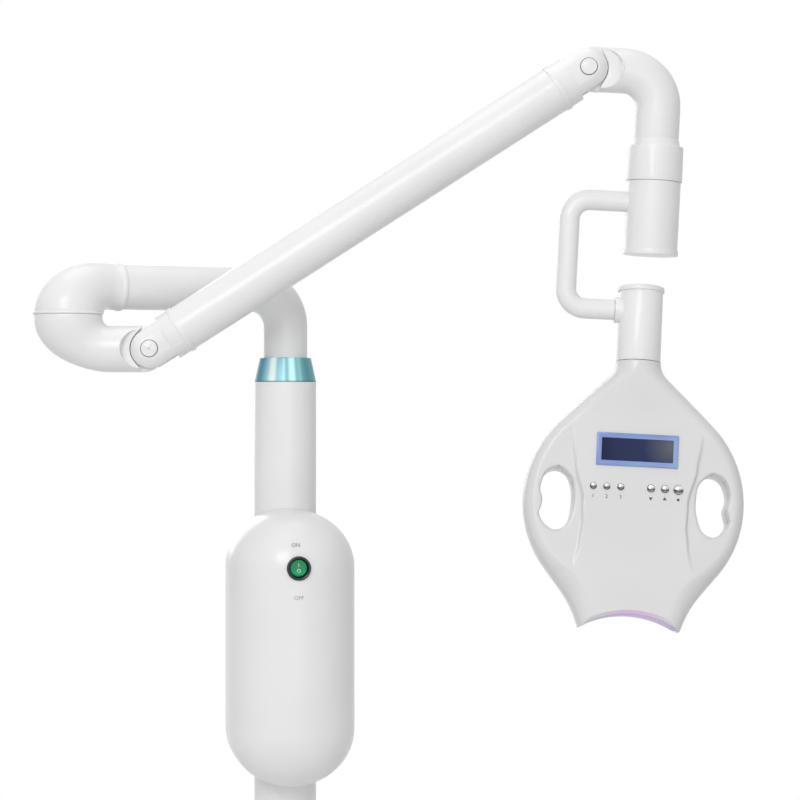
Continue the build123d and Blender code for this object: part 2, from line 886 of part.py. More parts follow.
def make_drop_bush():
    inner = drop_spigot_radius + running_gap
    body = rod(drop_elbow_radius - drop_elbow_wall, -drop_leg_end, -drop_bush_top)
    body += rod(drop_elbow_radius, -drop_leg_end - drop_bush_flange, -drop_leg_end)
    return Pos(drop_axis, 0, 0) * (body - rod(inner, -2 * drop_leg_end, overrun))


def make_drop_tube():
    neck_top = -drop_leg_end - drop_bush_flange - drop_neck_gap
    shoulder = -collar_band_bottom - body_gap
    end = -drop_tube_end + end_cap_height / 2
    body = rod(drop_tube_radius, end, shoulder)
    body += rod(drop_neck_radius, shoulder, neck_top)
    body += rod(drop_spigot_radius, neck_top, -drop_spigot_top)
    body -= rod(drop_tube_radius - drop_tube_wall, end - overrun, shoulder - drop_floor)
    body -= rod(drop_spigot_core, end, overrun)
    body = Pos(drop_axis, 0, 0) * body
    return body - Pos(0, 0, -handle_upper) * rod_x(handle_radius, 0, drop_axis)


def make_drop_cap():
    low = -drop_tube_end
    body = rod(end_cap_radius, low, low + end_cap_height)
    body -= rod(drop_tube_radius, low + end_cap_height / 2, low + 2 * end_cap_height)
    cap = fillet(body.edges().group_by(Axis.Z)[0], collar_rounding)
    return Pos(drop_axis, 0, 0) * cap


def make_handle():
    left = -handle_left
    inner_wall = drop_axis - drop_tube_radius
    stem_wall_x = head_axis - stem_radius - tilt_boss_reach
    start = left + handle_corner
    upper = Pos(0, 0, -handle_upper) * rod_x(handle_radius, start, inner_wall + handle_entry)
    leg = rod_x(handle_radius, start, stem_wall_x - body_gap)
    leg += rod_x(journal_radius, start, stem_wall_x + journal_length)
    lower = Pos(0, 0, -handle_lower) * leg
    low_end = -handle_lower + handle_corner
    upright = Pos(left, 0, 0) * rod(handle_radius, low_end, -handle_upper - handle_corner)
    corner = Pos(left + handle_corner, 0, 0) * quarter_bend(handle_radius, handle_corner, -1)
    top = Pos(0, 0, -handle_upper) * corner
    bottom = Pos(0, 0, -handle_lower) * mirror(corner, Plane.XY)
    return upper + lower + upright + top + bottom


# Head stem


def make_stem():
    body = rod(stem_radius, -stem_end, stem_top)
    body += rod(stem_spigot_radius, -stem_spigot_end, -stem_end)
    body -= rod(stem_radius - stem_wall, -stem_end + stem_wall, stem_top + overrun)
    body -= rod(stem_spigot_radius - 2 * stem_wall, -2 * stem_spigot_end, stem_top)
    boss = rod_x(tilt_boss_radius, -stem_radius - tilt_boss_reach, tilt_boss_inner)
    body += boss
    return body - rod_x(journal_radius + running_gap, -2 * stem_radius, tilt_boss_inner - stem_wall / 2)


def make_stem_cap():
    cap = rod(stem_cap_radius, stem_top, stem_top + stem_cap_height)
    cap = fillet(cap.edges().group_by(Axis.Z)[-1], stem_cap_height / 3)
    return cap + rod(stem_radius - stem_wall, stem_top - stem_cap_plug / 2, stem_top)


# Lamp head


def head_outline(inset):
    # Half outline in X and Z, with the neck at the top and the mouth below, offset inwards by the inset
    ball = head_ball_radius - inset
    neck = head_neck_radius - inset
    blend = head_neck_blend + inset
    high = math.radians(head_shoulder_angle)
    low = math.radians(head_waist_angle)
    centre = -head_ball_centre
    shoulder = (ball * math.sin(high), centre + ball * math.cos(high))
    waist = (ball * math.sin(low), centre - ball * math.cos(low))
    # The shoulder line meets the neck line here, and the blend is tangent to both
    corner_z = shoulder[1] + (shoulder[0] - neck) * math.tan(high)
    tangent = blend * math.tan((math.pi / 2 - high) / 2)
    blend_top = (neck, corner_z + tangent)
    blend_low = (neck + tangent * math.cos(high), corner_z - tangent * math.sin(high))
    flat_end = (waist[0] - head_waist_flat * math.cos(low), waist[1] - head_waist_flat * math.sin(low))
    mouth_blend = head_mouth_blend + inset
    turn = math.radians(head_mouth_turn)
    hub = (flat_end[0] + mouth_blend * math.sin(low), flat_end[1] - mouth_blend * math.cos(low))
    mouth_end = (hub[0] - mouth_blend * math.sin(low + turn), hub[1] + mouth_blend * math.cos(low + turn))
    return blend_top, blend_low, shoulder, waist, flat_end, mouth_end


def head_solid(inset, edge):
    blend_top, blend_low, shoulder, waist, flat_end, mouth_end = head_outline(inset)
    top = -stem_end
    high = math.radians(head_shoulder_angle)
    low = math.radians(head_waist_angle)
    with BuildSketch(Plane.XZ) as half:
        with BuildLine():
            Line((0, mouth_end[1]), (0, top))
            Line((0, top), (blend_top[0], top))
            Line((blend_top[0], top), blend_top)
            TangentArc(blend_top, blend_low, tangent=(0, -1))
            Line(blend_low, shoulder)
            TangentArc(shoulder, waist, tangent=(math.cos(high), -math.sin(high)))
            Line(waist, flat_end)
            TangentArc(flat_end, mouth_end, tangent=(-math.cos(low), -math.sin(low)))
            Line(mouth_end, (0, mouth_end[1]))
        make_face()
    turned_body = revolve(half.sketch, axis=Axis.Z)
    wide = 2 * head_ball_radius
    front = -head_front_half + inset
    plate = slab(-wide, wide, front, head_rear_half - inset, mouth_end[1] - wide, top + wide)
    body = turned_body & plate
    rims = body.faces().sort_by(Axis.Y)[0].edges() + body.faces().sort_by(Axis.Y)[-1].edges()
    rims = [e for e in rims if e.center().Z > mouth_end[1] + edge]
    return fillet(rims, edge)


def grip_dishes(extra):
    # Shallow hollows of the front round both grips, each with a crease on its inner side
    points = [(half - extra, -depth) for depth, half in zip(crease_depths, crease_halves)]
    wide = 2 * head_ball_radius
    with BuildSketch(Plane.XZ) as face:
        with BuildLine():
            Spline(*points)
            Line(points[-1], (wide, points[-1][1]))
            Line((wide, points[-1][1]), (wide, points[0][1]))
            Line((wide, points[0][1]), points[0])
        make_face()
    side = extrude(face.sketch, amount=2 * head_front_half)
    radius = (dish_half_length ** 2 + dish_depth ** 2) / (2 * dish_depth)
    centre_y = -head_front_half + dish_depth - radius
    side &= Pos(0, centre_y, -dish_height) * rod_x(radius + extra, 0, wide)
    return side + mirror(side, Plane.YZ)


def grip_prism(side, extra):
    # Through-going finger hole with a shallow finger swell on its outer side
    points = []
    for across, along in zip(grip_across_shares, grip_along_shares):
        x = side * (grip_offset + across * (grip_half_width + extra))
        points.append((x, -grip_height + along * (grip_half_length + extra)))
    with BuildSketch(Plane.XZ) as face:
        with BuildLine():
            Spline(*points, periodic=True)
        make_face()
    return extrude(face.sketch, amount=2 * head_front_half, both=True)


def head_cavity():
    return head_solid(head_wall, head_inner_edge) - grip_dishes(head_wall)


def mouth_cut():
    # Round cut across the lower end, opened out towards the front
    centre = Pos(0, 0, -mouth_top - mouth_radius)
    wide = mouth_radius + mouth_bevel
    cone = Cone(wide, mouth_radius, mouth_bevel, align=(Align.CENTER, Align.CENTER, Align.MIN))
    round_cut = rod_y(mouth_radius, -2 * head_front_half, 2 * head_front_half)
    return centre * (round_cut + Pos(0, -head_front_half, 0) * Rot(-90, 0, 0) * cone)


def head_screw_places():
    return [(side * x, -z) for x, z in zip(head_screw_across, head_screw_depths) for side in (-1, 1)]


def vent_slot():
    # Upright slot with round ends through the rear wall
    start = head_rear_half - 2 * head_wall
    end = head_rear_half + overrun
    half = vent_half_width
    slot = slab(-half, half, start, end, -vent_half_length, vent_half_length)
    for side in (-1, 1):
        slot += Pos(0, 0, side * vent_half_length) * rod_y(half, start, end)
    return slot


def make_head():
    solid = head_solid(0, head_edge) - grip_dishes(0)
    shell = solid - head_cavity()
    for side in (-1, 1):
        shell += grip_prism(side, grip_wall) & solid
    for side in (-1, 1):
        shell -= grip_prism(side, 0)
    shell -= mouth_cut()
    front = -head_front_half
    board_face = front + lcd_frame_depth
    lcd_width = lcd_frame_body_width + 2 * body_gap
    lcd_opening = lcd_frame_body_height + 2 * body_gap
    shell -= lcd_block(lcd_width, lcd_opening, front - overrun, 0)
    for x, z in board_post_places():
        shell += Pos(x, 0, z) * rod_y(board_post_radius, front + head_wall, board_face)
    for place, radius in zip(button_places, button_radii):
        shell -= Pos(place, 0, -button_height) * rod_y(radius + body_gap, front - overrun, board_face)
    for x, z in head_screw_places():
        shell += Pos(x, 0, z) * rod_y(head_post_radius, front + head_wall, head_rear_half - head_wall)
        shell -= Pos(x, 0, z) * rod_y(screw_radius, head_screw_seat - screw_length, head_screw_seat)
        recess = rod_y(screw_head_radius + body_gap, head_screw_seat, head_rear_half + overrun)
        shell -= Pos(x, 0, z) * recess
    for i in range(vent_count):
        shell -= Pos((i - (vent_count - 1) / 2) * vent_pitch, 0, -vent_depth) * vent_slot()
    rims = []
    for edge in shell.edges():
        box = edge.bounding_box()
        middle = box.center()
        at_face = middle.Y > head_rear_half - body_gap or middle.Y < -head_front_half + 2 * dish_depth
        near_x = abs(abs(middle.X) - grip_offset) < grip_half_width
        near_z = abs(middle.Z + grip_height) < grip_half_length
        around = box.size.Y < dish_depth and box.size.Z < 2 * grip_half_length + body_gap
        if at_face and near_x and near_z and around:
            rims.append(edge)
    shell = fillet(rims, grip_edge)
    wide = 2 * head_ball_radius
    low = -2 * mouth_top
    front_half = shell & slab(-wide, wide, -wide, 0, low, 0)
    rear_half = shell & slab(-wide, wide, 0, wide, low, 0)
    return front_half, rear_half


def make_head_screws():
    group = []
    for x, z in head_screw_places():
        shaft = rod_y(screw_radius, head_screw_seat - screw_length, head_screw_seat)
        head = rod_y(screw_head_radius, head_screw_seat, head_screw_seat + screw_head_height)
        group.append(head_frame * Pos(x, 0, z) * (shaft + head))
    return Compound(children=group)


# Head fittings


def lcd_block(width, height, start, end):
    return slab(-width / 2, width / 2, start, end, -lcd_height - height / 2, -lcd_height + height / 2)


def make_lcd_frame():
    front = -head_front_half
    bezel = lcd_block(lcd_frame_width, lcd_frame_height, front - lcd_frame_proud, front)
    bezel = fillet(bezel.edges().filter_by(Axis.Y), lcd_corner)
    body = lcd_block(lcd_frame_body_width, lcd_frame_body_height, front, front + lcd_frame_depth)
    return bezel + body - lcd_block(lcd_window_width, lcd_window_height, front - overrun, 0)


def make_lcd_glass():
    start = -head_front_half - lcd_frame_proud + lcd_glass_recess
    return lcd_block(lcd_window_width, lcd_window_height, start, start + lcd_glass_thickness)


def board_post_places():
    x = board_half_width - board_post_inset
    low = -board_top - board_height + board_post_inset
    return [(side * x, z) for side in (-1, 1) for z in (-board_top - board_post_inset, low)]


def make_control_board():
    face = -head_front_half + lcd_frame_depth
    half = board_half_width
    low = -board_top - board_height
    return slab(-half, half, face, face + board_thickness, low, -board_top)


def make_light_window():
    # Curved lens that follows the mouth and fills it from wall to wall
    inner = mouth_radius + window_depth
    reach = 2 * head_front_half
    ring = rod_y(inner + window_thickness, -reach, reach)
    ring -= rod_y(inner, -reach - overrun, reach + overrun)
    return Pos(0, 0, -mouth_top - mouth_radius) * ring & head_cavity()


def make_led_board():
    low = -mouth_top + led_board_depth
    half = led_count * led_step / 2 + led_board_margin
    board = slab(-half, half, -led_board_half_depth, led_board_half_depth, low, low + led_board_thickness)
    for i in range(led_count):
        for row in (-1, 1):
            x = (i - (led_count - 1) / 2) * led_step
            board += Pos(x, row * led_board_half_depth / 2, 0) * rod(led_radius, low - led_height, low)
    return board


def make_heat_sink():
    low = -mouth_top + led_board_depth + led_board_thickness
    half = led_count * led_step / 2 + led_board_margin
    front = -head_front_half + head_wall
    rear = head_rear_half - head_wall
    sink = slab(-half, half, front, rear, low, low + sink_thickness)
    for i in range(sink_fin_count):
        x = (i - (sink_fin_count - 1) / 2) * sink_fin_pitch
        sink += slab(
            x - sink_fin_thickness / 2, x + sink_fin_thickness / 2,
            -led_board_half_depth, led_board_half_depth,
            low + sink_thickness, low + sink_thickness + sink_fin_height
        )
    return sink


def make_button(index):
    # Domed key with a flange behind the front wall and a foot that reaches for the board
    radius = button_radii[index]
    front = -head_front_half
    wall = front + head_wall
    key = rod_y(radius, front - button_proud, wall)
    key = fillet(key.edges().filter_by(GeomType.CIRCLE).group_by(Axis.Y)[0], button_dome)
    key += rod_y(radius + button_flange_lip, wall, wall + button_flange)
    foot_end = front + lcd_frame_depth - button_travel - body_gap
    key += rod_y(button_foot_radius, wall, foot_end)
    return Pos(button_places[index], 0, -button_height) * key


save("base_star", make_star())
save("ballast_plate", make_ballast())
save("hub_cover", make_hub_cover())
save("lower_column", make_column(column_foot, column_split))
save("neck_tube", make_column(column_split, column_top))
save("column_coupler", make_coupler())
for i in range(leg_count):
    spot = Rot(0, 0, i * 360 / leg_count - 90) * Pos(star_reach, 0, 0)
    save("caster_body_" + str(i + 1), spot * make_caster_body())
    save("caster_wheels_" + str(i + 1), spot * make_caster_wheels())
housing_front, housing_rear = make_housing()
save("housing_front", housing_front)
save("housing_rear", housing_rear)
save("housing_bracket", make_bracket())
save("power_supply", make_supply())
save("housing_screws", make_housing_screws())
save("power_inlet", make_inlet())
save("switch_bezel", make_bezel())
save("rocker", make_rocker())
save("swivel_bush", make_bush())
save("collar_ring", make_collar())
save("link_spigot", shoulder_frame * make_spigot())
save("link_tube", shoulder_frame * make_link_tube())
save("upper_swivel_elbow", make_upper_swivel())
save("lower_swivel_elbow", make_lower_swivel())
save("swivel_washer", make_swivel_washer())
save("swivel_bolt", make_swivel_bolt())
save("lower_fork", arm_frame * make_fork())
save("upper_fork", arm_frame * arm_finish * make_fork())
save("arm_tube", arm_frame * make_arm_tube())
pins = [arm_frame * (make_pin() - pin_cross()), arm_frame * Pos(arm_length, 0, 0) * make_pin()]
save("pivot_pins", Compound(children=pins))
discs = [arm_frame * d for d in friction_discs()]
discs += [arm_frame * Pos(arm_length, 0, 0) * d for d in friction_discs()]
save("friction_discs", Compound(children=discs))
save("drop_elbow", drop_frame * make_drop_elbow())
save("drop_collar", drop_frame * make_drop_collar())
save("drop_bush", drop_frame * make_drop_bush())
save("drop_tube", drop_frame * make_drop_tube())
save("drop_cap", drop_frame * make_drop_cap())
save("c_handle", drop_frame * make_handle())
save("head_stem", head_frame * make_stem())
save("stem_cap", head_frame * make_stem_cap())
head_front, head_rear = make_head()
save("head_front", head_frame * head_front)
save("head_rear", head_frame * head_rear)
save("head_screws", make_head_screws())
save("lcd_frame", head_frame * make_lcd_frame())
save("lcd_glass", head_frame * make_lcd_glass())
save("control_board", head_frame * make_control_board())
save("light_window", head_frame * make_light_window())
save("led_board", head_frame * make_led_board())
save("heat_sink", head_frame * make_heat_sink())
for i in range(len(button_places)):
    save("button_" + str(i + 1), head_frame * make_button(i))
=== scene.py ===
import bpy
import bmesh
import json
import math
from collections import namedtuple
from mathutils import Matrix, Vector


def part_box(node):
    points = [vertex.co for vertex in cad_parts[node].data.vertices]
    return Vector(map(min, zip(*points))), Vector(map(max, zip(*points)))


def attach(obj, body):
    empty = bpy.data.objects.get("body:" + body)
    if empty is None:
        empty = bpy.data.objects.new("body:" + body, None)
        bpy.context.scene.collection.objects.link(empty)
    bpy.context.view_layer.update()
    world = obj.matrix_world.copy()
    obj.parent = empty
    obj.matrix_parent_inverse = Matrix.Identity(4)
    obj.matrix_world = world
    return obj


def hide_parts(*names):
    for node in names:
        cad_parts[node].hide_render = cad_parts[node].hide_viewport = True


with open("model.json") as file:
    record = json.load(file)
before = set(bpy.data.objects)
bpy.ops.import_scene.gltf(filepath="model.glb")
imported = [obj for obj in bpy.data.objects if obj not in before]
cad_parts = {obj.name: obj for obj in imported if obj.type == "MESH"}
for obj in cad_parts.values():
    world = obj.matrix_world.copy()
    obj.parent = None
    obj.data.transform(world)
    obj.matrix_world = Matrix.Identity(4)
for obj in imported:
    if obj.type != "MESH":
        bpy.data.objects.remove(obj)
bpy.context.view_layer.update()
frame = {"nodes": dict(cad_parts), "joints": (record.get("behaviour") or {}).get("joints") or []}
nodes = frame["nodes"]
joints = {joint["name"]: joint for joint in frame["joints"]}

# The studio: a level camera just below the top of the column, turned 9.3 degrees from the front,
# a white world for the camera and the gloss, and large soft lamps, the strongest at the left.
view_turn = math.radians(-9.3)
view_right = Vector((math.cos(view_turn), math.sin(view_turn), 0))
view_depth = Vector((-math.sin(view_turn), math.cos(view_turn), 0))
view_distance = 2.5
view_width = 0.8
view_across = 0.1147
view_height = 1.040
camera_data = bpy.data.cameras.new("photo_camera")
camera_data.sensor_width = 36.0
camera_data.lens = camera_data.sensor_width * view_distance / view_width
camera_data.clip_end = 50.0
camera = bpy.data.objects.new("photo_camera", camera_data)
camera.location = view_right * view_across - view_depth * view_distance + Vector((0, 0, view_height))
camera.rotation_euler = (math.radians(90), 0, view_turn)
bpy.context.scene.collection.objects.link(camera)
bpy.context.scene.camera = camera
bpy.context.scene.view_settings.view_transform = "Standard"


class Value:
    """One value or colour in a finish; sums and products of values add the maths to the finish."""

    def __init__(self, tree, socket=None):
        self.tree = tree
        self.socket = socket

    def node(self, kind, settings=None, inputs=None, output=0):
        made = self.tree.nodes.new(kind)
        for name, value in (settings or {}).items():
            setattr(made, name, value)
        for name, value in (inputs or {}).items():
            if isinstance(value, Value):
                self.tree.links.new(value.socket, made.inputs[name])
            else:
                made.inputs[name].default_value = value
        return Value(self.tree, made.outputs[output]) if made.outputs else None

    def maths(self, operation, other):
        return self.node("ShaderNodeMath", {"operation": operation}, {0: self, 1: other})

    def __add__(self, other):
        return self.maths("ADD", other)

    def __sub__(self, other):
        return self.maths("SUBTRACT", other)

    def __mul__(self, other):
        return self.maths("MULTIPLY", other)

    def measure(self, operation, other=(0, 0, 0)):
        """The length of this place, its distance from another, or the product of two directions."""
        return self.node("ShaderNodeVectorMath", {"operation": operation}, {0: self, 1: other}, 1)

    def step(self, low, high):
        """0 at low, 1 at high, smooth between them."""
        settings = {"interpolation_type": "SMOOTHSTEP"}
        return self.node("ShaderNodeMapRange", settings, {"Value": self, "From Min": low, "From Max": high})

    def mixed(self, first, second):
        """From the first colour to the second as this value goes from 0 to 1."""
        first, second = [item if isinstance(item, Value) else (*item, 1) for item in (first, second)]
        return self.node("ShaderNodeMix", {"data_type": "RGBA"}, {0: self, 6: first, 7: second}, 2)

    def ramp(self, *stops):
        """Colours at places from 0 to 1, blended from one to the next."""
        made = self.tree.nodes.new("ShaderNodeValToRGB")
        self.tree.links.new(self.socket, made.inputs[0])
        elements = made.color_ramp.elements
        while len(elements) < len(stops):
            elements.new(0.5)
        for element, (place, colour) in zip(elements, stops):
            element.position = place
            element.color = (*colour, 1)
        return Value(self.tree, made.outputs[0])


sky_gain, sky_least = 0.48, 0.185
world = bpy.data.worlds.new("studio")
bpy.context.scene.world = world
world.use_nodes = True
world.node_tree.nodes.clear()
sky = Value(world.node_tree)
seen = sky.node("ShaderNodeLightPath", output="Is Camera Ray")
for way_seen in ("Is Glossy Ray", "Is Transmission Ray"):
    seen = seen.maths("MAXIMUM", sky.node("ShaderNodeLightPath", output=way_seen))
bright_way = (view_right * -0.16 - view_depth * 0.8 + Vector((0, 0, 0.5))).normalized()
facing_light = sky.node("ShaderNodeTexCoord", output="Generated").measure("DOT_PRODUCT", bright_way)
level = facing_light.step(-0.9, 0.9) * sky_gain + sky_least
soft = sky.node("ShaderNodeBackground", None, {"Color": (1, 1, 1, 1), "Strength": level})
white = sky.node("ShaderNodeBackground", None, {"Color": (1, 1, 1, 1), "Strength": 1.0})
either = sky.node("ShaderNodeMixShader", None, {0: seen, 1: soft, 2: white})
sky.node("ShaderNodeOutputWorld", None, {"Surface": either})

lamp_target = Vector((0.05, 0, 1.0))
for name, place, size, power in (
    ("key", (-1.1, -2.8, 2.3), 1.5, 33),
    ("front", (0.2, -3.2, 1.2), 1.6, 8),
    ("top", (-0.2, 0.1, 3.2), 1.8, 12),
    ("rear", (-0.6, 2.4, 1.8), 1.8, 12),
):
    lamp = bpy.data.lights.new(name, "AREA")
    lamp.shape = "DISK"
    lamp.size = size
    lamp.energy = power
    lamp_object = bpy.data.objects.new(name, lamp)
    lamp_object.location = place
    lamp_object.rotation_euler = (lamp_target - Vector(place)).to_track_quat("-Z", "Y").to_euler()
    bpy.context.scene.collection.objects.link(lamp_object)

# The floor: a plain pale disc under the casters that fades into the white round it and keeps
# the lamp's soft shadow.
floor_radius = 1.6
fade_start, fade_end = 0.5, 1.5
shape = bmesh.new()
bmesh.ops.create_circle(shape, cap_ends=True, segments=96, radius=floor_radius)
floor_mesh = bpy.data.meshes.new("floor")
shape.to_mesh(floor_mesh)
shape.free()
floor = bpy.data.objects.new("floor", floor_mesh)
bpy.context.scene.collection.objects.link(floor)
floor_finish = bpy.data.materials.new("floor_paint")
floor_finish.use_nodes = True
floor_finish.node_tree.nodes.clear()
pale = Value(floor_finish.node_tree)
spot = pale.node("ShaderNodeTexCoord", output="Object")
grain = pale.node("ShaderNodeTexNoise", None, {"Vector": spot, "Scale": 9.0, "Detail": 3.0})
floor_tone = grain.mixed((0.86, 0.86, 0.86), (0.9, 0.9, 0.9))
matt = pale.node("ShaderNodeBsdfDiffuse", None, {"Color": floor_tone})
lit = pale.node("ShaderNodeEmission", None, {"Color": (1, 1, 1, 1), "Strength": 1.0})
share = spot.measure("LENGTH").step(fade_start, fade_end) * 0.5 + 0.5
share = share * pale.node("ShaderNodeLightPath", output="Is Camera Ray")
shown = pale.node("ShaderNodeMixShader", None, {0: share, 1: matt, 2: lit})
pale.node("ShaderNodeOutputMaterial", None, {"Surface": shown})
floor_mesh.materials.append(floor_finish)

# The stand: five hollow steel legs welded to a hub, a hub cover, and the column, all powder coated
# gloss white, over a cast iron ballast plate that is bolted up from below.
merge_distance = 0.00001


def finish_of(name, **constants):
    """An empty finish with its main shader; what is the same all over is set on the shader itself."""
    made = bpy.data.materials.new(name)
    made.use_nodes = True
    shader = made.node_tree.nodes["Principled BSDF"]
    for socket, value in constants.items():
        shader.inputs[socket.replace("_", " ")].default_value = value
    return made, Value(made.node_tree), shader


def lead(value, shader, socket):
    value.tree.links.new(value.socket, shader.inputs[socket])


def own_place(value):
    """Where a point lies on its piece, so that a pattern stays fixed to the piece."""
    return value.node("ShaderNodeTexCoord", output="Object")


def noise(value, scale, detail):
    """Cloudy 0 to 1 pattern fixed to the piece."""
    inputs = {"Vector": own_place(value), "Scale": scale, "Detail": detail}
    return value.node("ShaderNodeTexNoise", None, inputs)


def relief(height, shader, strength, distance):
    bump = height.node("ShaderNodeBump", None, {"Height": height, "Strength": strength, "Distance": distance})
    lead(bump, shader, "Normal")


def mottled(name, dark, light, scale, detail, roughness, spread, **constants):
    """A finish whose tone and roughness drift together in one cloudy pattern."""
    made, base, shader = finish_of(name, **constants)
    pattern = noise(base, scale, detail)
    lead(pattern.mixed(dark, light), shader, "Base Color")
    lead(pattern * spread + roughness, shader, "Roughness")
    return made, pattern, shader


def coat(name, dark, light, roughness, cloud_scale, peel):
    """A sprayed or moulded gloss skin: faint cloudiness, uneven gloss and a shallow orange peel."""
    made, base, shader = finish_of(name, IOR=1.45, Specular_IOR_Level=0.4, Coat_Roughness=0.08)
    cloud = noise(base, cloud_scale, 4.0)
    tone = cloud.step(0.3, 0.7).mixed(dark, light)
    lead(tone, shader, "Base Color")
    lead(cloud * 0.08 + roughness, shader, "Roughness")
    lead(cloud * 0.1 + 0.1, shader, "Coat Weight")
    relief(noise(base, 900.0, 2.0), shader, peel, 0.0004)
    return made, tone, shader


def dress(name, made, edge=32):
    """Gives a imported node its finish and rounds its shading, with true edges kept sharp."""
    node = nodes[name]
    node.data.materials.clear()
    node.data.materials.append(made)
    for face in node.data.polygons:
        face.use_smooth = True
    weld = node.modifiers.new("weld", "WELD")
    weld.merge_threshold = merge_distance
    split = node.modifiers.new("edges", "EDGE_SPLIT")
    split.split_angle = math.radians(edge)


powder = coat(
    "white_powder_coat", (0.785, 0.785, 0.79), (0.81, 0.81, 0.812), roughness=0.3, cloud_scale=14.0, peel=0.12
)[0]
for name in ("base_star", "hub_cover", "lower_column", "neck_tube"):
    dress(name, powder)
ballast, pits, shader = mottled(
    "cast_ballast", (0.02, 0.02, 0.022), (0.06, 0.06, 0.065),
    scale=220.0, detail=6.0, roughness=0.5, spread=0.3, Metallic=0.6, IOR=1.5,
)
relief(pits, shader, strength=0.6, distance=0.001)
dress("ballast_plate", ballast)

# The casters: nickel plated swivel bodies on stems in the leg ends, each with two rubber wheels
# on a riveted axle.
plated = mottled(
    "plated_steel", (0.42, 0.43, 0.45), (0.62, 0.63, 0.65),
    scale=130.0, detail=5.0, roughness=0.2, spread=0.2, Metallic=1.0, IOR=2.2,
)[0]
rubber, dust, shader = mottled(
    "wheel_rubber", (0.018, 0.018, 0.02), (0.05, 0.05, 0.052),
    scale=260.0, detail=5.0, roughness=0.5, spread=0.25, IOR=1.5,
)
relief(dust, shader, strength=0.3, distance=0.0006)
for i in range(1, 6):
    dress("caster_body_%d" % i, plated)
    dress("caster_wheels_%d" % i, rubber)

# The power housing: two gloss white mouldings screwed round the column over the supply, with the
# switch's two words printed on the front in grey.
word_height = 0.0038
ink_thickness = 0.0003
capital_share = 0.69
fine_merge = 0.000002


def shift(x, y, z):
    return Matrix.Translation((x, y, z))


def turn(degrees, axis):
    return Matrix.Rotation(math.radians(degrees), 4, axis)


def piece(name, shape, body, made, slot, *stands_for, edge=35):
    """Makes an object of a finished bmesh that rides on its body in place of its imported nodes."""
    for line in shape.edges:
        line.smooth = len(line.link_faces) != 2 or line.calc_face_angle() < math.radians(edge)
    for face in shape.faces:
        face.smooth = True
    mesh = bpy.data.meshes.new(name)
    shape.to_mesh(mesh)
    shape.free()
    mesh.materials.append(made)
    item = bpy.data.objects.new(name, mesh)
    bpy.context.scene.collection.objects.link(item)
    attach(item, body)
    if stands_for:
        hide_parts(*stands_for)
    return item


def lettering(words, height, thickness, place):
    """Raised print: words centred on a place, in its XY plane, facing its Z."""
    letters = bpy.data.curves.new("print", "FONT")
    letters.body = words
    letters.size = height / capital_share
    letters.align_x = "CENTER"
    letters.align_y = "CENTER"
    letters.extrude = thickness / 2
    letters.resolution_u = 4
    holder = bpy.data.objects.new("print", letters)
    bpy.context.scene.collection.objects.link(holder)
    bpy.context.view_layer.update()
    flat = bpy.data.meshes.new_from_object(holder.evaluated_get(bpy.context.evaluated_depsgraph_get()))
    shape = bmesh.new()
    shape.from_mesh(flat)
    bpy.data.objects.remove(holder)
    bpy.data.curves.remove(letters)
    bpy.data.meshes.remove(flat)
    bmesh.ops.remove_doubles(shape, verts=shape.verts, dist=fine_merge)
    bmesh.ops.transform(shape, matrix=place, verts=shape.verts)
    return shape


moulded = coat(
    "white_moulding", (0.775, 0.775, 0.78), (0.80, 0.80, 0.80), roughness=0.26, cloud_scale=10.0, peel=0.06
)[0]
for name in ("housing_front", "housing_rear"):
    dress(name, moulded)
for name in ("column_coupler", "housing_bracket", "power_supply", "housing_screws"):
    dress(name, plated)
grey_print = mottled(
    "grey_print", (0.30, 0.30, 0.31), (0.42, 0.42, 0.43),
    scale=900.0, detail=3.0, roughness=0.45, spread=0.2, IOR=1.45,
)[0]
front_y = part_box("housing_front")[0].y
facing = turn(90, "X")
for name, words, across, height, sunk in (
    ("on_print", "ON", -0.0024, 0.9010, 0.0052), ("off_print", "OFF", 0.0, 0.8505, 0.0),
):
    place = shift(across, front_y + sunk, height) @ facing
    piece(name, lettering(words, word_height, ink_thickness, place), "stand", grey_print, "black_plastic")

# The rocker switch: a glossy black nylon bezel pressed into the housing, and a clear green key
# marked I and O that rocks on two pins. The inlet's socket is of the same black nylon.
switch_pivot = Vector(joints["rocker_key"]["pos_m"])
bezel_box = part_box("switch_bezel")
bezel_radius = (bezel_box[1].x - bezel_box[0].x) / 2
bezel_line = (
    (0.0024, -0.0110), (0.0024, -0.0012), (0.0021, -0.0004), (0.0015, -0.0001), (0.0010, 0.0),
    (0.0005, -0.0002), (0.0002, -0.0006), (0.0, -0.0012), (0.0, -0.0036), (0.0017, -0.0036),
    (0.0017, -0.0110), (0.0024, -0.0110),
)
rocker_radius = 0.0087
rocker_rise = 0.0036
rocker_back = 0.0026
rocker_throw = 7
rocker_light, rocker_dark = 0.001, -0.006
mark_height = 0.0034
mark_seat = 0.00015


def settle(shape, place, merge):
    """Joins the doubled points of a shape, turns its faces outwards and puts it in its place."""
    bmesh.ops.remove_doubles(shape, verts=shape.verts, dist=merge)
    bmesh.ops.recalc_face_normals(shape, faces=shape.faces)
    bmesh.ops.transform(shape, matrix=place, verts=shape.verts)
    return shape


def turned(points, place, sides=96):
    """A bmesh turned about its Z from (radius, height) points and then put in its place."""
    shape = bmesh.new()
    line = [shape.verts.new((radius, 0, height)) for radius, height in points]
    runs = [shape.edges.new(pair) for pair in zip(line, line[1:])]
    spin = {"cent": (0, 0, 0), "axis": (0, 0, 1), "angle": 2 * math.pi}
    bmesh.ops.spin(shape, geom=line + runs, steps=sides, use_merge=True, **spin)
    return settle(shape, place, fine_merge)


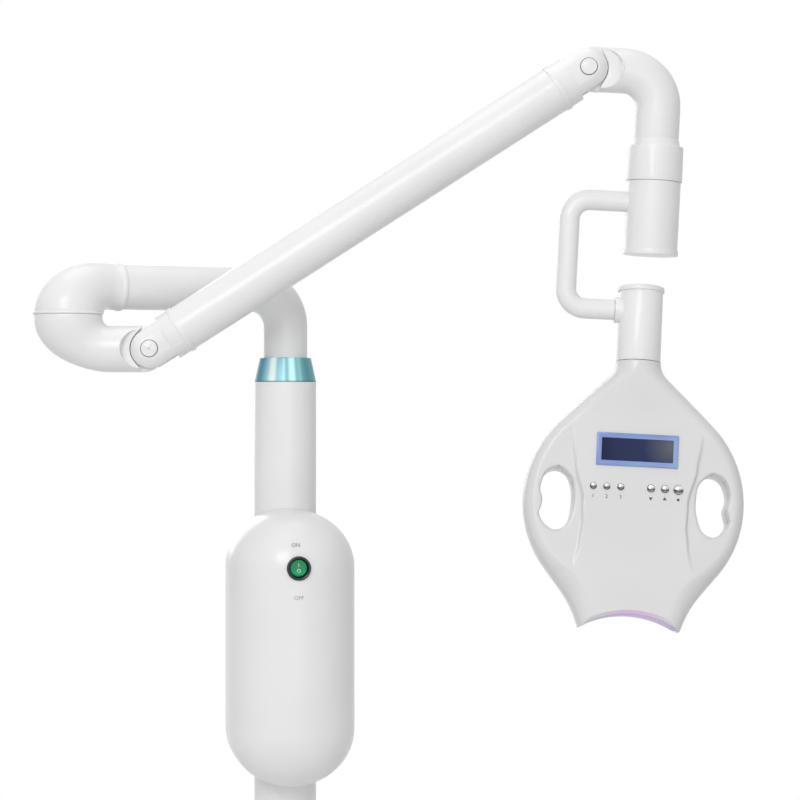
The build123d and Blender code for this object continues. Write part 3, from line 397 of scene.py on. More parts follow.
black = mottled(
    "black_nylon", (0.008, 0.008, 0.009), (0.02, 0.02, 0.022),
    scale=700.0, detail=3.0, roughness=0.22, spread=0.15, IOR=1.5,
)[0]
dress("power_inlet", black)
bezel_place = shift(0, bezel_box[0].y, switch_pivot.z) @ facing
bezel_skin = turned([(bezel_radius - inset, height) for inset, height in bezel_line], bezel_place)
piece("switch_rim", bezel_skin, "stand", black, "black_plastic", "switch_bezel")
green, base, shader = finish_of("green_key", IOR=1.45, Specular_IOR_Level=0.3, Emission_Strength=1.0)
swirl = noise(base, 160.0, 2.0)
height = base.node("ShaderNodeSeparateXYZ", None, {0: own_place(base)}, 2)
# painted light and shade: the key's lower half is lighter and glows more, its upper half darker, in base and
# emission colour
painted_light_lower = height.step(switch_pivot.z + rocker_light, switch_pivot.z + rocker_dark)
tone = swirl * 0.35 + painted_light_lower * 0.65
lead(tone.mixed((0.006, 0.20, 0.075), (0.012, 0.30, 0.12)), shader, "Base Color")
lead(swirl * 0.1 + 0.2, shader, "Roughness")
lead(painted_light_lower.mixed((0.0, 0.03, 0.012), (0.002, 0.07, 0.03)), shader, "Emission Color")
rocker_place = Matrix.Translation(switch_pivot) @ turn(-rocker_throw, "X")
shape = bmesh.new()
bmesh.ops.create_uvsphere(shape, u_segments=64, v_segments=40, radius=rocker_radius)
for side in (-1, 1):
    lean = turn(side * rocker_throw, "X")
    cut = lean @ Vector((0, -rocker_rise, 0))
    way = lean @ Vector((0, -1, 0))
    for vert in shape.verts:
        over = (vert.co - cut).dot(way)
        if over > 0 and vert.co.z * side >= 0:
            vert.co -= way * over
for vert in shape.verts:
    vert.co.y = min(vert.co.y, rocker_back)
settle(shape, rocker_place, merge_distance)
piece("switch_key", shape, "rocker", green, "green_rocker", "rocker", edge=25)
white_mark = mottled(
    "white_mark", (0.70, 0.74, 0.70), (0.85, 0.88, 0.85),
    scale=900.0, detail=3.0, roughness=0.4, spread=0.2, IOR=1.45,
)[0]
for name, words, rise, side in (("mark_on", "I", 0.0028, 1), ("mark_off", "O", -0.0035, -1)):
    place = rocker_place @ turn(side * rocker_throw, "X") @ shift(0, -rocker_rise - mark_seat, rise) @ facing
    piece(name, lettering(words, mark_height, ink_thickness, place), "rocker", white_mark, "white_plastic")

# The column swivel: a nylon bush in the neck tube, the turned steel spigot of the link and the
# teal anodised ring that covers both, with upright bands of reflection painted round it and its foot painted
# darker as shade.
collar_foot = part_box("collar_ring")[0].z
foot_light, foot_dark = 0.0014, 0.0008
nylon = mottled(
    "natural_nylon", (0.55, 0.55, 0.52), (0.66, 0.66, 0.63),
    scale=240.0, detail=3.0, roughness=0.4, spread=0.2, IOR=1.5,
)[0]
dress("swivel_bush", nylon)
dress("link_spigot", plated)
teal, base, shader = finish_of("teal_anodised", Metallic=0.3, IOR=1.5)
right, back, up = [base.node("ShaderNodeSeparateXYZ", None, {0: own_place(base)}, axis) for axis in (0, 1, 2)]
turns = back.maths("ARCTAN2", right) * (0.5 / math.pi) + 0.5
# painted reflection: light and dark upright bands set into the ring's base colour by angle round it
painted_reflection_bands = turns.ramp(
    (0.0, (0.05, 0.20, 0.26)), (0.048, (0.045, 0.17, 0.24)), (0.081, (0.065, 0.27, 0.38)),
    (0.107, (0.20, 0.46, 0.60)), (0.129, (0.42, 0.66, 0.70)), (0.146, (0.86, 1.0, 1.0)),
    (0.169, (0.86, 1.0, 1.0)), (0.186, (0.27, 0.51, 0.57)), (0.205, (0.21, 0.41, 0.47)),
    (0.217, (0.22, 0.45, 0.49)), (0.2225, (0.36, 0.66, 0.74)), (0.228, (0.22, 0.46, 0.50)),
    (0.244, (0.22, 0.46, 0.50)), (0.257, (0.58, 0.93, 0.98)), (0.279, (0.62, 1.0, 1.0)),
    (0.294, (0.24, 0.50, 0.54)), (0.314, (0.30, 0.62, 0.66)), (0.337, (0.13, 0.36, 0.40)),
    (0.365, (0.08, 0.28, 0.31)), (0.40, (0.09, 0.30, 0.33)), (0.55, (0.10, 0.40, 0.46)),
    (0.60, (0.55, 0.82, 0.85)), (0.66, (0.10, 0.38, 0.44)), (0.80, (0.05, 0.26, 0.32)),
    (0.86, (0.40, 0.72, 0.76)), (0.93, (0.08, 0.32, 0.38)),
)
# painted shade: the ring's colour darkens towards its foot, where it meets the neck
foot = up.step(collar_foot + foot_light, collar_foot + foot_dark)
lead((foot * 0.75).mixed(painted_reflection_bands, (0.01, 0.04, 0.06)), shader, "Base Color")
lead(noise(base, 90.0, 3.0) * 0.08 + 0.34, shader, "Roughness")
dress("collar_ring", teal)

# The arm chain: bent and straight aluminium tubes, moulded swivel elbows and knuckles, all
# sprayed the same gloss white, pushed into one another and riveted under the raised rings.
tube_radius = 0.0225
barrel_radius = 0.033
upper_rise, upper_centre, upper_taper, upper_seat = 0.0285, 0.044, 1.7, 0.0011
lower_rise, lower_centre, lower_taper, lower_seat = 0.0320, 0.040, 3.0, -0.0007
lower_tail = ((0.0090, tube_radius),)
ring_tail = (
    (0.0040, tube_radius), (0.0044, 0.0226), (0.0048, 0.0231), (0.0054, 0.02345), (0.0062, 0.0236),
    (0.0082, 0.0236), (0.0089, 0.02345), (0.0093, 0.0231), (0.0094, 0.0221), (0.0094, 0.0205),
)
rim_line = (
    (0.0315, 0.0010), (0.0334, 0.0010), (0.0339, 0.0013), (0.0341, 0.0018), (0.0341, 0.0026),
    (0.0339, 0.0031), (0.0334, 0.0034), (0.0326, 0.0036), (0.0315, 0.0036), (0.0315, 0.0010),
)
drop_radius = 0.02152
drop_cut = 0.0312
ear_clear = 0.0194
cheek_depth = 0.0060
cheek_ledge = 0.0015
rim_run = 0.0013
rim_round = 0.0009
floor_round = 0.0005
corner_bow = 0.134
disc_back = 0.008
disc_line = (
    (0.0, -0.0069), (0.0214, -0.0069), (0.0220, -0.0066), (0.0224, -0.0060),
    (0.0224, 0.0060), (0.0220, 0.0066), (0.0214, 0.0069), (0.0, 0.0069),
)


def place_at(origin, x_way, y_way):
    """A place with its origin there, X along the first way and Y as near as it can be to the second."""
    x = Vector(x_way).normalized()
    z = x.cross(Vector(y_way)).normalized()
    place = Matrix((x, z.cross(x), z)).transposed().to_4x4()
    place.translation = origin
    return place


def grow(shape, rim):
    """Extrudes a row of edges and returns the new row and its points, still where the old ones are."""
    grown = bmesh.ops.extrude_edge_only(shape, edges=rim)["geom"]
    kinds = (bmesh.types.BMEdge, bmesh.types.BMVert)
    return [[item for item in grown if isinstance(item, kind)] for kind in kinds]


def sleeve(stations, place):
    """A tube skin through turned circles, given as (place of the circle, its radius)."""
    shape = bmesh.new()
    bmesh.ops.create_circle(shape, segments=96, radius=1.0)
    sized = [spot @ Matrix.Diagonal((radius, radius, radius, 1)) for spot, radius in stations]
    bmesh.ops.transform(shape, matrix=sized[0], verts=shape.verts)
    rim = shape.edges[:]
    for before, after in zip(sized, sized[1:]):
        rim, moved = grow(shape, rim)
        bmesh.ops.transform(shape, matrix=after @ before.inverted(), verts=moved)
    bmesh.ops.recalc_face_normals(shape, faces=shape.faces)
    bmesh.ops.transform(shape, matrix=place, verts=shape.verts)
    return shape


def horn(rise, centre, taper, seat, tail):
    """Stations of a swivel elbow from its wide round foot to its level end and the rings beyond it."""
    stations = []
    for lift, inset in ((0.0, 0.0006), (0.0003, 0.0002), (0.0008, 0.0)):
        stations.append((shift(-centre, 0, seat + lift), barrel_radius - inset))
    for degrees in range(6, 91, 2):
        angle = math.radians(degrees)
        share = abs(math.cos(angle)) ** taper
        far = rise + (centre - rise) * share
        radius = tube_radius + (barrel_radius - tube_radius) * share
        spot = shift(-far * math.cos(angle), 0, far * math.sin(angle))
        stations.append((spot @ turn(degrees, "Y"), radius))
    for along, radius in tail:
        stations.append((shift(along, 0, rise) @ turn(90, "Y"), radius))
    return stations


def softened(name, body, width):
    """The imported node's own shape with its flat faces joined and its true edges rounded."""
    shape = bmesh.new()
    shape.from_mesh(nodes[name].data)
    bmesh.ops.transform(shape, matrix=nodes[name].matrix_world, verts=shape.verts)
    bmesh.ops.remove_doubles(shape, verts=shape.verts, dist=merge_distance)
    bmesh.ops.dissolve_limit(shape, angle_limit=math.radians(0.5), verts=shape.verts, edges=shape.edges)
    item = piece(name + "_soft", shape, body, enamel, "white_alloy", name, edge=180)
    rounding = item.modifiers.new("rounding", "BEVEL")
    rounding.width = width
    rounding.segments = 3
    rounding.limit_method = "ANGLE"
    rounding.angle_limit = math.radians(35)
    rounding.harden_normals = True
    return item


def rounded_corner(x, y, size):
    """Points round a corner that would come to (x, y) if it were square, from its flat to its upright."""
    near, half = size * corner_bow, size * 0.5
    return [(x - size, y), (x - half, y - near), (x - near, y - half), (x, y - size)]


def milled(start, radius, slot_at, slot_radius, lean, place):
    """A tube end on -X with a round flat milled in each cheek, clear of ears that turn about the origin."""
    floor_height = math.sqrt(radius ** 2 - slot_radius ** 2)
    arc_end = ear_clear * math.cos(lean)
    columns = 11
    shape = bmesh.new()
    for side in (-1, 1):
        grid = bmesh.ops.create_grid(shape, x_segments=columns, y_segments=120, size=1.0)["verts"]
        for vert in grid:
            z = radius * math.sin(vert.co.y * math.pi / 2)
            high = math.sqrt(max(0.0, radius ** 2 - z ** 2))
            low = min(floor_height, high)
            deep = min(low, cheek_depth)
            clear = -math.sqrt(ear_clear ** 2 - min(abs(z), arc_end) ** 2)
            clear += max(0.0, abs(z) - arc_end) / math.tan(lean)
            rim = min(-slot_at - math.sqrt(max(0.0, slot_radius ** 2 - z ** 2)), clear - cheek_ledge)
            line = [(start, high), (rim - rim_run, high)]
            line += rounded_corner(rim, high, min(rim_round, high - low)) + [(rim, low)]
            line += rounded_corner(clear, low, min(floor_round, low - deep)) + [(clear, deep)]
            x, y = line[round((vert.co.x + 1) / 2 * columns)]
            vert.co = (x, side * y, z)
    return settle(shape, place, merge_distance)


enamel = coat(
    "white_enamel", (0.775, 0.775, 0.78), (0.80, 0.80, 0.80), roughness=0.28, cloud_scale=12.0, peel=0.08
)[0]
for name in ("link_tube", "arm_tube", "drop_tube", "c_handle"):
    dress(name, enamel)
for name, body, width in (
    ("lower_fork", "arm", 0.0012), ("upper_fork", "arm", 0.0012), ("drop_collar", "drop", 0.0008),
    ("drop_cap", "handle", 0.0006), ("stem_cap", "head", 0.0006),
):
    softened(name, body, width)
fold = Vector(joints["fold_swivel"]["pos_m"])
elbow_at = Vector(joints["arm_pitch"]["pos_m"])
wrist_at = Vector(joints["drop_pitch"]["pos_m"])
arm_length = (wrist_at - elbow_at).length
across_way = -Vector(joints["arm_pitch"]["axis"])
link_way = Vector((fold.x, fold.y, 0)).normalized()
link_place = place_at((0, 0, 0), link_way, (-link_way.y, link_way.x, 0))
fore_way = Vector((elbow_at.x - fold.x, elbow_at.y - fold.y, 0))
fore_place = place_at((fold.x, fold.y, 0), fore_way, across_way)
elbow_place = place_at(elbow_at, fore_way, across_way)
arm_place = place_at(elbow_at, wrist_at - elbow_at, across_way)
drop_down = -Vector(joints["drop_swivel"]["axis"])
drop_place = place_at(wrist_at, drop_down.cross(across_way), across_way)

upper_line = horn(upper_rise, upper_centre, upper_taper, upper_seat, ring_tail)
upper_place = link_place @ shift(link_way.dot(fold) - upper_centre, 0, fold.z) @ turn(180, "Z")
piece("upper_horn", sleeve(upper_line, upper_place), "link", enamel, "white_alloy", "upper_swivel_elbow")
rim_place = Matrix.Translation(fold)
piece("upper_horn_rim", turned(rim_line, rim_place), "link", enamel, "white_alloy")
lower_line = horn(lower_rise, lower_centre, lower_taper, lower_seat, lower_tail)
lower_place = fore_place @ shift(lower_centre, 0, fold.z) @ turn(180, "X")
piece("lower_horn", sleeve(lower_line, lower_place), "fore_arm", enamel, "white_alloy")
lower_end = milled(
    start=-0.0308, radius=tube_radius, slot_at=0.009, slot_radius=0.0185, lean=math.radians(51),
    place=elbow_place,
)
piece("lower_knuckle", lower_end, "fore_arm", enamel, "white_alloy", "lower_swivel_elbow")
drop_end = softened("drop_elbow", "drop", 0.0010)
shape = bmesh.new()
shape.from_mesh(drop_end.data)
cut = {"plane_co": drop_place @ Vector((drop_cut, 0, 0)), "plane_no": drop_place.col[0].to_3d()}
whole = shape.verts[:] + shape.edges[:] + shape.faces[:]
bmesh.ops.bisect_plane(shape, geom=whole, clear_inner=True, **cut)
shape.to_mesh(drop_end.data)
shape.free()
upper_end = milled(
    start=-0.0320, radius=drop_radius, slot_at=0.014, slot_radius=0.0186, lean=math.radians(64),
    place=drop_place @ turn(180, "Z"),
)
piece("upper_knuckle", upper_end, "drop", enamel, "white_alloy")
for name, body, place, share in (
    ("lower_knuckle_disc", "fore_arm", elbow_place @ shift(-disc_back, 0, 0), 1.0),
    ("upper_knuckle_disc", "drop", drop_place @ shift(disc_back, 0, 0), 0.955),
):
    disc = turned([(radius * share, height) for radius, height in disc_line], place @ turn(90, "X"))
    piece(name, disc, body, enamel, "white_alloy")

# The chain's small parts: white plugs over the pivot pins, each in a thin dark ring that is painted
# shade for the gap round it, nylon rings and bushes in the joints, the lip over the drop collar and a
# thin dark ring that is painted shade for the seam at the head's neck.
washer_line = (
    (0.0280, -0.0006), (0.0325, -0.0006), (0.0329, -0.0002), (0.0329, 0.0006),
    (0.0325, 0.0009), (0.0280, 0.0009), (0.0280, -0.0006),
)
plug_line = (
    (0.0078, -0.0002), (0.0078, 0.0011), (0.0076, 0.0016), (0.0071, 0.0020), (0.0064, 0.0021),
    (0.0060, 0.0019), (0.0040, 0.0022), (0.0020, 0.0024), (0.0, 0.0024),
)
gap_shade_line = (
    (0.0074, -0.0001), (0.0083, -0.0001), (0.0084, 0.0002), (0.0083, 0.0004), (0.0074, 0.0004),
    (0.0074, -0.0001),
)
lip_line = (
    (0.0214, -0.0640), (0.0218, -0.0645), (0.0221, -0.0660), (0.0227, -0.0690), (0.0234, -0.0706),
    (0.0236, -0.0712), (0.0214, -0.0712),
)
neck_shade_line = (
    (0.0190, -0.0504), (0.0211, -0.0504), (0.0213, -0.0500), (0.0211, -0.0494), (0.0190, -0.0494),
    (0.0190, -0.0504),
)
ear_face = 0.020
rib_size = (0.0104, 0.0016, 0.0010)
rib_rise = 0.0024
drop_axis = 0.0693
head_tilt = joints["head_tilt"]
head_place = place_at(head_tilt["pos_m"], head_tilt["axis"], joints["key_slide_1"]["axis"])
for name in ("swivel_bolt", "pivot_pins"):
    dress(name, plated)
for name in ("swivel_washer", "friction_discs", "drop_bush"):
    dress(name, nylon)
piece("swivel_seal", turned(washer_line, rim_place), "fore_arm", enamel, "nylon")
for joint, along in (("elbow", 0.0), ("wrist", arm_length)):
    for side, way in (("front", -1), ("back", 1)):
        place = arm_place @ shift(along, way * ear_face, 0) @ turn(-way * 90, "X")
        piece("%s_plug_%s" % (joint, side), turned(plug_line, place, 48), "arm", enamel, "white_plastic")
        # painted shade: a thin dark ring round each plug stands for the shade in the gap between plug and ear
        piece("%s_ring_%s" % (joint, side), turned(gap_shade_line, place, 48), "arm", rubber, "wheel_rubber")
        for spin in (35, 125) if joint == "elbow" else ():
            rib = bmesh.new()
            bmesh.ops.create_cube(rib, size=1.0)
            bmesh.ops.scale(rib, vec=rib_size, verts=rib.verts)
            bmesh.ops.transform(rib, matrix=place @ shift(0, 0, rib_rise) @ turn(spin, "Z"), verts=rib.verts)
            piece("%s_rib_%s_%d" % (joint, side, spin), rib, "arm", enamel, "white_plastic")
piece("drop_collar_lip", turned(lip_line, drop_place @ shift(drop_axis, 0, 0)), "drop", enamel, "white_alloy")
# painted shade: a thin dark ring at the neck stands for the shade in the seam between stem cap and head
piece("neck_gap_shade", turned(neck_shade_line, head_place), "head", rubber, "wheel_rubber")

# The lamp head's rear and stem: a gloss white moulding with vents and four screws, round the
# finned extrusion that cools the LED board, on a sprayed tube that the handle's end runs into.
stem_radius = 0.021
stem_slack = 0.00005
boss_start = 0.010
stem = softened("head_stem", "head", 0.0006)
home = head_place.inverted()
for vert in stem.data.vertices:
    spot = home @ vert.co
    wide = math.hypot(spot.x, spot.y)
    if spot.x > boss_start and wide > stem_radius + stem_slack:
        vert.co = head_place @ Vector((spot.x * stem_radius / wide, spot.y * stem_radius / wide, spot.z))
dress("head_rear", moulded)
dress("head_screws", plated)
extrusion = mottled(
    "bare_extrusion", (0.5, 0.51, 0.53), (0.68, 0.69, 0.7),
    scale=180.0, detail=4.0, roughness=0.25, spread=0.2, Metallic=1.0,
)[0]
dress("heat_sink", extrusion)
board = mottled(
    "circuit_board", (0.01, 0.09, 0.03), (0.02, 0.14, 0.05),
    scale=300.0, detail=3.0, roughness=0.3, spread=0.2, IOR=1.5,
)[0]
for name in ("control_board", "led_board"):
    dress(name, board)

# The lamp head's front: one gloss white moulding with a rounded edge, a shallow finger dish and
# a through grip on each side, six key holes, and a round mouth whose bevel has the lamp's violet light
# painted on it.
neck_radius = 0.0215
neck_depth = 0.050
neck_run = 0.055
neck_blend = 0.022
shoulder_slope = math.radians(45)
ball_radius = 0.1044
ball_depth = 0.185
waist_slope = math.radians(51.8)
waist_run = 0.0265
waist_depth = 0.264
waist_spread = 0.024
waist_inset = 0.009
waist_fall = 0.005
mouth_blend = 0.105
mouth_radius = 0.089
mouth_top = 0.291
mouth_bevel = 0.004
mouth_half = 0.0464
mouth_run = 0.05
spill_across = 0.002
spill_outer, spill_inner = 0.0004, -0.0006
spill_none, spill_full = 0.036, 0.006
front_half = 0.026
front_crown = 0.0009
edge_round = 0.011
edge_fall = 0.0150
edge_gather = 0.35
dish_depth = 0.0040
dish_middle = 0.184
dish_reach = 0.066
dish_lip = (-0.0008, 0.0018)
crease_depths = (0.092, 0.112, 0.130, 0.150, 0.187, 0.207, 0.227, 0.247, 0.282)
crease_halves = (0.067, 0.0625, 0.060, 0.057, 0.049, 0.0485, 0.0505, 0.0545, 0.063)
grip_across = 0.0735
grip_depth = 0.1855
grip_width = 0.0160
grip_length = 0.0295
grip_acrosses = (-0.1, 0.62, 0.93, 0.97, 0.84, 0.9, 1.0, 0.66, 0.0, -0.64, -0.96, -1.0, -0.84)
grip_alongs = (1.0, 0.86, 0.5, 0.25, -0.03, -0.28, -0.5, -0.83, -1.0, -0.79, -0.28, 0.16, 0.66)
grip_steps = 24
grip_round = 0.0026
grip_room = 0.0048
key_depth = 0.1723
key_acrosses = (-0.040, -0.0273, -0.0142, 0.0142, 0.0273, 0.040)
key_radii = (0.0029, 0.0029, 0.0029, 0.0034, 0.0034, 0.0043)
key_gap = 0.0003
key_round = 0.0004
key_room = 0.0014
wall = 0.0026
columns, rows = 190, 232
edge_slack = 0.0006
shell_merge = 0.00003
Opening = namedtuple("Opening", "side x z wide tall round room")


def head_half(depth):
    """Half the head's width at a depth below the tilt axis."""
    shoulder = ball_radius * math.sin(shoulder_slope), ball_depth - ball_radius * math.cos(shoulder_slope)
    waist = ball_radius * math.sin(waist_slope), ball_depth + ball_radius * math.cos(waist_slope)
    tangent = neck_blend * math.tan(shoulder_slope / 2)
    corner = shoulder[1] - (shoulder[0] - neck_radius) * math.tan(shoulder_slope)
    if depth < corner - tangent:
        return neck_radius
    if depth < corner + tangent * math.sin(shoulder_slope):
        return neck_radius + neck_blend - math.sqrt(neck_blend ** 2 - (depth - corner + tangent) ** 2)
    if depth < shoulder[1]:
        return shoulder[0] - (shoulder[1] - depth) / math.tan(shoulder_slope)
    if depth < waist[1]:
        return math.sqrt(ball_radius ** 2 - (depth - ball_depth) ** 2)
    if depth < waist[1] + waist_run * math.sin(waist_slope):
        return waist[0] - (depth - waist[1]) / math.tan(waist_slope)
    flat_x = waist[0] - waist_run * math.cos(waist_slope)
    flat_depth = waist[1] + waist_run * math.sin(waist_slope)
    hub_x = flat_x + mouth_blend * math.sin(waist_slope)
    hub_depth = flat_depth + mouth_blend * math.cos(waist_slope)
    return hub_x - math.sqrt(mouth_blend ** 2 - (hub_depth - depth) ** 2)


def head_slope(depth):
    """How fast that half width grows with depth."""
    step = 0.0002
    return (head_half(depth + step) - head_half(depth - step)) / (2 * step)


def eased(value, low, high):
    share = min(max((value - low) / (high - low), 0.0), 1.0)
    return share * share * (3 - 2 * share)


def crease_half(depth):
    """Half the distance between the two creases at a depth, eased from one measured point to the next."""
    for i in range(len(crease_depths) - 1):
        if depth <= crease_depths[i + 1]:
            share = eased(depth, crease_depths[i], crease_depths[i + 1])
            return crease_halves[i] + (crease_halves[i + 1] - crease_halves[i]) * share
    return crease_halves[-1]


def grip_outline(side):
    """A closed smooth curve through the grip's points, as (angle, reach) about its centre."""
    points = []
    for across, along in zip(grip_acrosses, grip_alongs):
        points.append(Vector((side * across * grip_width, along * grip_length)))
    outline = []
    for i in range(len(points)):
        before, start, end, after = [points[(i + step) % len(points)] for step in (-1, 0, 1, 2)]
        for step in range(grip_steps):
            share = step / grip_steps
            spot = start * 2 + (end - before) * share
            spot += (before * 2 - start * 5 + end * 4 - after) * share * share
            spot += (start * 3 - before - end * 3 + after) * share ** 3
            outline.append((math.atan2(spot.y, spot.x), spot.length / 2))
    return sorted(outline)


grip_outlines = {side: grip_outline(side) for side in (-1, 1)}


def grip_reach(side, angle):
    """How far the grip's edge is from its centre in one direction."""
    outline = grip_outlines[side]
    before = [item for item in outline if item[0] <= angle] or [outline[0]]
    after = [item for item in outline if item[0] > angle] or [outline[-1]]
    (low, low_reach), (high, high_reach) = before[-1], after[0]
    share = (angle - low) / (high - low) if high > low else 0.0
    return low_reach + (high_reach - low_reach) * share


def front_depth(x, depth, half, slope):
    """How far the front stands before the parting plane, at X and at a depth below the tilt axis."""
    narrow = eased(depth, neck_depth, neck_depth + neck_run)
    full = neck_radius + (front_half - neck_radius) * narrow
    dish = max(0.0, dish_depth - (depth - dish_middle) ** 2 / (dish_reach ** 2 / dish_depth))
    dish *= eased(abs(x) - crease_half(depth), *dish_lip)
    full -= dish + front_crown * (x / half) ** 2 * narrow
    waist = math.exp(-((depth - waist_depth) / waist_spread) ** 2)
    inset = (edge_round + waist_inset * waist) * math.sqrt(1 + slope * slope)
    inset = neck_radius + (inset - neck_radius) * narrow
    fall = neck_radius + (edge_fall + waist_fall * waist - neck_radius) * narrow
    over = (abs(x) - (half - inset)) / inset
    if over > 0:
        full -= fall * (1 - math.sqrt(max(0.0, 1 - over * over)))
    return full


def within(spot, opening, extra):
    """Whether a place on the head is inside an opening's oval once that is widened."""
    across = (spot.x - opening.x) / (opening.wide + opening.room * extra)
    along = (spot.z - opening.z) / (opening.tall + opening.room * extra)
    return math.hypot(across, along) < 1


mouth_centre = mouth_top + mouth_radius
end_depth = mouth_centre - math.sqrt(mouth_radius ** 2 - mouth_half ** 2)
shape = bmesh.new()
bmesh.ops.create_grid(shape, x_segments=columns, y_segments=rows, size=1.0)
for vert in shape.verts:
    across, along = vert.co.x, (vert.co.y + 1) / 2
    depth = neck_depth + (end_depth - neck_depth) * along
    half = head_half(depth)
    x = half * math.sin(across * math.pi / 2) * edge_gather + half * across * (1 - edge_gather)
    arch = mouth_centre - math.sqrt(mouth_radius ** 2 - min(abs(x), mouth_half) ** 2) - end_depth
    lift = arch * eased(depth, end_depth - mouth_run, end_depth)
    out = front_depth(x, depth + lift, half, head_slope(depth))
    reach = math.hypot(x, mouth_centre - depth - lift)
    out = min(out, front_half + reach - mouth_radius - mouth_bevel)
    vert.co = (x, -out, -depth - lift)
openings = [
    Opening(side, side * grip_across, -grip_depth, grip_width, grip_length, grip_round, grip_room)
    for side in (-1, 1)
]
openings += [
    Opening(0, across, -key_depth, radius + key_gap, radius + key_gap, key_round, key_room)
    for across, radius in zip(key_acrosses, key_radii)
]
for opening in openings:
    inside = [face for face in shape.faces if within(face.calc_center_median(), opening, 1.0)]
    bmesh.ops.delete(shape, geom=inside, context="FACES")
walls = []
for opening in openings:
    ring = [edge for edge in shape.edges if edge.is_boundary and edge not in walls]
    ring = [edge for edge in ring if within((edge.verts[0].co + edge.verts[1].co) / 2, opening, 1.6)]
    for share in (1.0, 0.62, 0.35, 0.15, 0.04, 0.0):
        gap = opening.round * share
        ring, points = grow(shape, ring)
        for vert in points:
            angle = math.atan2(vert.co.z - opening.z, vert.co.x - opening.x)
            reach = (grip_reach(opening.side, angle) if opening.side else opening.wide) + gap
            vert.co.x = opening.x + reach * math.cos(angle)
            vert.co.z = opening.z + reach * math.sin(angle)
            half, slope = head_half(-vert.co.z), head_slope(-vert.co.z)
            rounding = opening.round - math.sqrt(opening.round ** 2 - (opening.round - gap) ** 2)
            vert.co.y = rounding - front_depth(vert.co.x, -vert.co.z, half, slope)
    if opening.side:
        ring, points = grow(shape, ring)
        for vert in points:
            vert.co.y = 0.0
    walls += ring
outer = [edge for edge in shape.edges if edge.is_boundary and edge not in walls]
flanks = []
for edge in outer:
    if max(abs(abs(vert.co.x) - head_half(-vert.co.z)) for vert in edge.verts) < edge_slack:
        flanks.append(edge)
for vert in grow(shape, flanks)[1]:
    vert.co.y = 0.0
bmesh.ops.remove_doubles(shape, verts=shape.verts, dist=shell_merge)
bmesh.ops.recalc_face_normals(shape, faces=shape.faces)
if sum(face.normal.y * face.calc_area() for face in shape.faces) > 0:
    bmesh.ops.reverse_faces(shape, faces=shape.faces)
bmesh.ops.transform(shape, matrix=head_place, verts=shape.verts)
# painted shade: the head is the housing's gloss white, given a darker colour to stand for its shading
head_finish, white_skin, shader = coat(
    "white_head_moulding_painted_shade", (0.655, 0.654, 0.655), (0.68, 0.679, 0.68),
    roughness=0.26, cloud_scale=10.0, peel=0.06,
)
bevel_end = mouth_radius + mouth_bevel
mouth_hub = head_place @ Vector((0, -front_half, -mouth_centre))
mouth_middle = head_place @ Vector((spill_across, -front_half, -mouth_top))
spot = own_place(white_skin)
# painted light: the mouth's bevel is coloured violet near its middle, for the lamp's light falling on it
on_bevel = spot.measure("DISTANCE", mouth_hub).step(bevel_end + spill_outer, bevel_end + spill_inner)
painted_violet_light = on_bevel * spot.measure("DISTANCE", mouth_middle).step(spill_none, spill_full)
lead(painted_violet_light.mixed(white_skin, (0.74, 0.54, 0.80)), shader, "Base Color")
skin = piece("head_front_shell", shape, "head", head_finish, "white_plastic", "head_front")
thick = skin.modifiers.new("wall", "SOLIDIFY")
thick.thickness = wall
thick.offset = -1
thick.use_rim = True
lens, frost, shader = mottled(
    "frosted_lens", (0.62, 0.50, 0.80), (0.70, 0.60, 0.86),
    scale=500.0, detail=3.0, roughness=0.3, spread=0.3, IOR=1.5, Emission_Strength=0.5,
)
lead(frost.mixed((0.42, 0.18, 0.75), (0.52, 0.28, 0.85)), shader, "Emission Color")
dress("light_window", lens)

# The display: a periwinkle blue frame with painted lighter patches, clipped into the head round a
# dark glass with a pale reflection painted at its right end.
frame_width, frame_height = 0.077, 0.031
glass_width, glass_height = 0.0675, 0.0213
frame_seat = 0.0012
frame_proud = 0.0014
frame_round = 0.0004
display_depth = 0.137
reflection_rise = 0.006


def raised(shape, height):
    """Gives a flat shape a thickness along its Z."""
    grown = bmesh.ops.extrude_face_region(shape, geom=shape.faces[:])["geom"]
    top = [item for item in grown if isinstance(item, bmesh.types.BMVert)]
    bmesh.ops.translate(shape, vec=(0, 0, height), verts=top)
    bmesh.ops.recalc_face_normals(shape, faces=shape.faces)


blue, base, shader = finish_of("blue_frame_plastic", IOR=1.5, Coat_Weight=0.2)
left_end = head_place @ Vector((-frame_width / 2, -front_half, -display_depth))
along = own_place(base).measure("DISTANCE", left_end) * (1 / frame_width)
hues = along.ramp(
    (0.0, (0.19, 0.22, 0.56)), (0.3, (0.15, 0.22, 0.52)), (0.55, (0.15, 0.28, 0.55)),
    (0.8, (0.18, 0.24, 0.53)), (1.0, (0.22, 0.32, 0.60)),
)
# painted highlight: random lighter cyan patches on the blue frame; the same pattern also varies its roughness
painted_sheen_and_gloss = noise(base, 60.0, 2.0)
lead((painted_sheen_and_gloss * 0.25).mixed(hues, (0.24, 0.42, 0.60)), shader, "Base Color")
lead(painted_sheen_and_gloss * 0.1 + 0.25, shader, "Roughness")
shape = bmesh.new()
bmesh.ops.create_grid(shape, x_segments=1, y_segments=1, size=0.5)
bmesh.ops.scale(shape, vec=(frame_width, frame_height, 1), verts=shape.verts)
border = (frame_width - glass_width) / 2
bmesh.ops.inset_region(shape, faces=shape.faces[:], thickness=border, use_boundary=True, use_even_offset=True)
middle = min(shape.faces, key=lambda face: face.calc_center_median().length)
for vert in middle.verts:
    vert.co.y = math.copysign(glass_height / 2, vert.co.y)
bmesh.ops.delete(shape, geom=[middle], context="FACES_ONLY")
raised(shape, frame_proud + frame_seat)
sharp = [edge for edge in shape.edges if len(edge.link_faces) == 2 and edge.calc_face_angle() > 1.0]
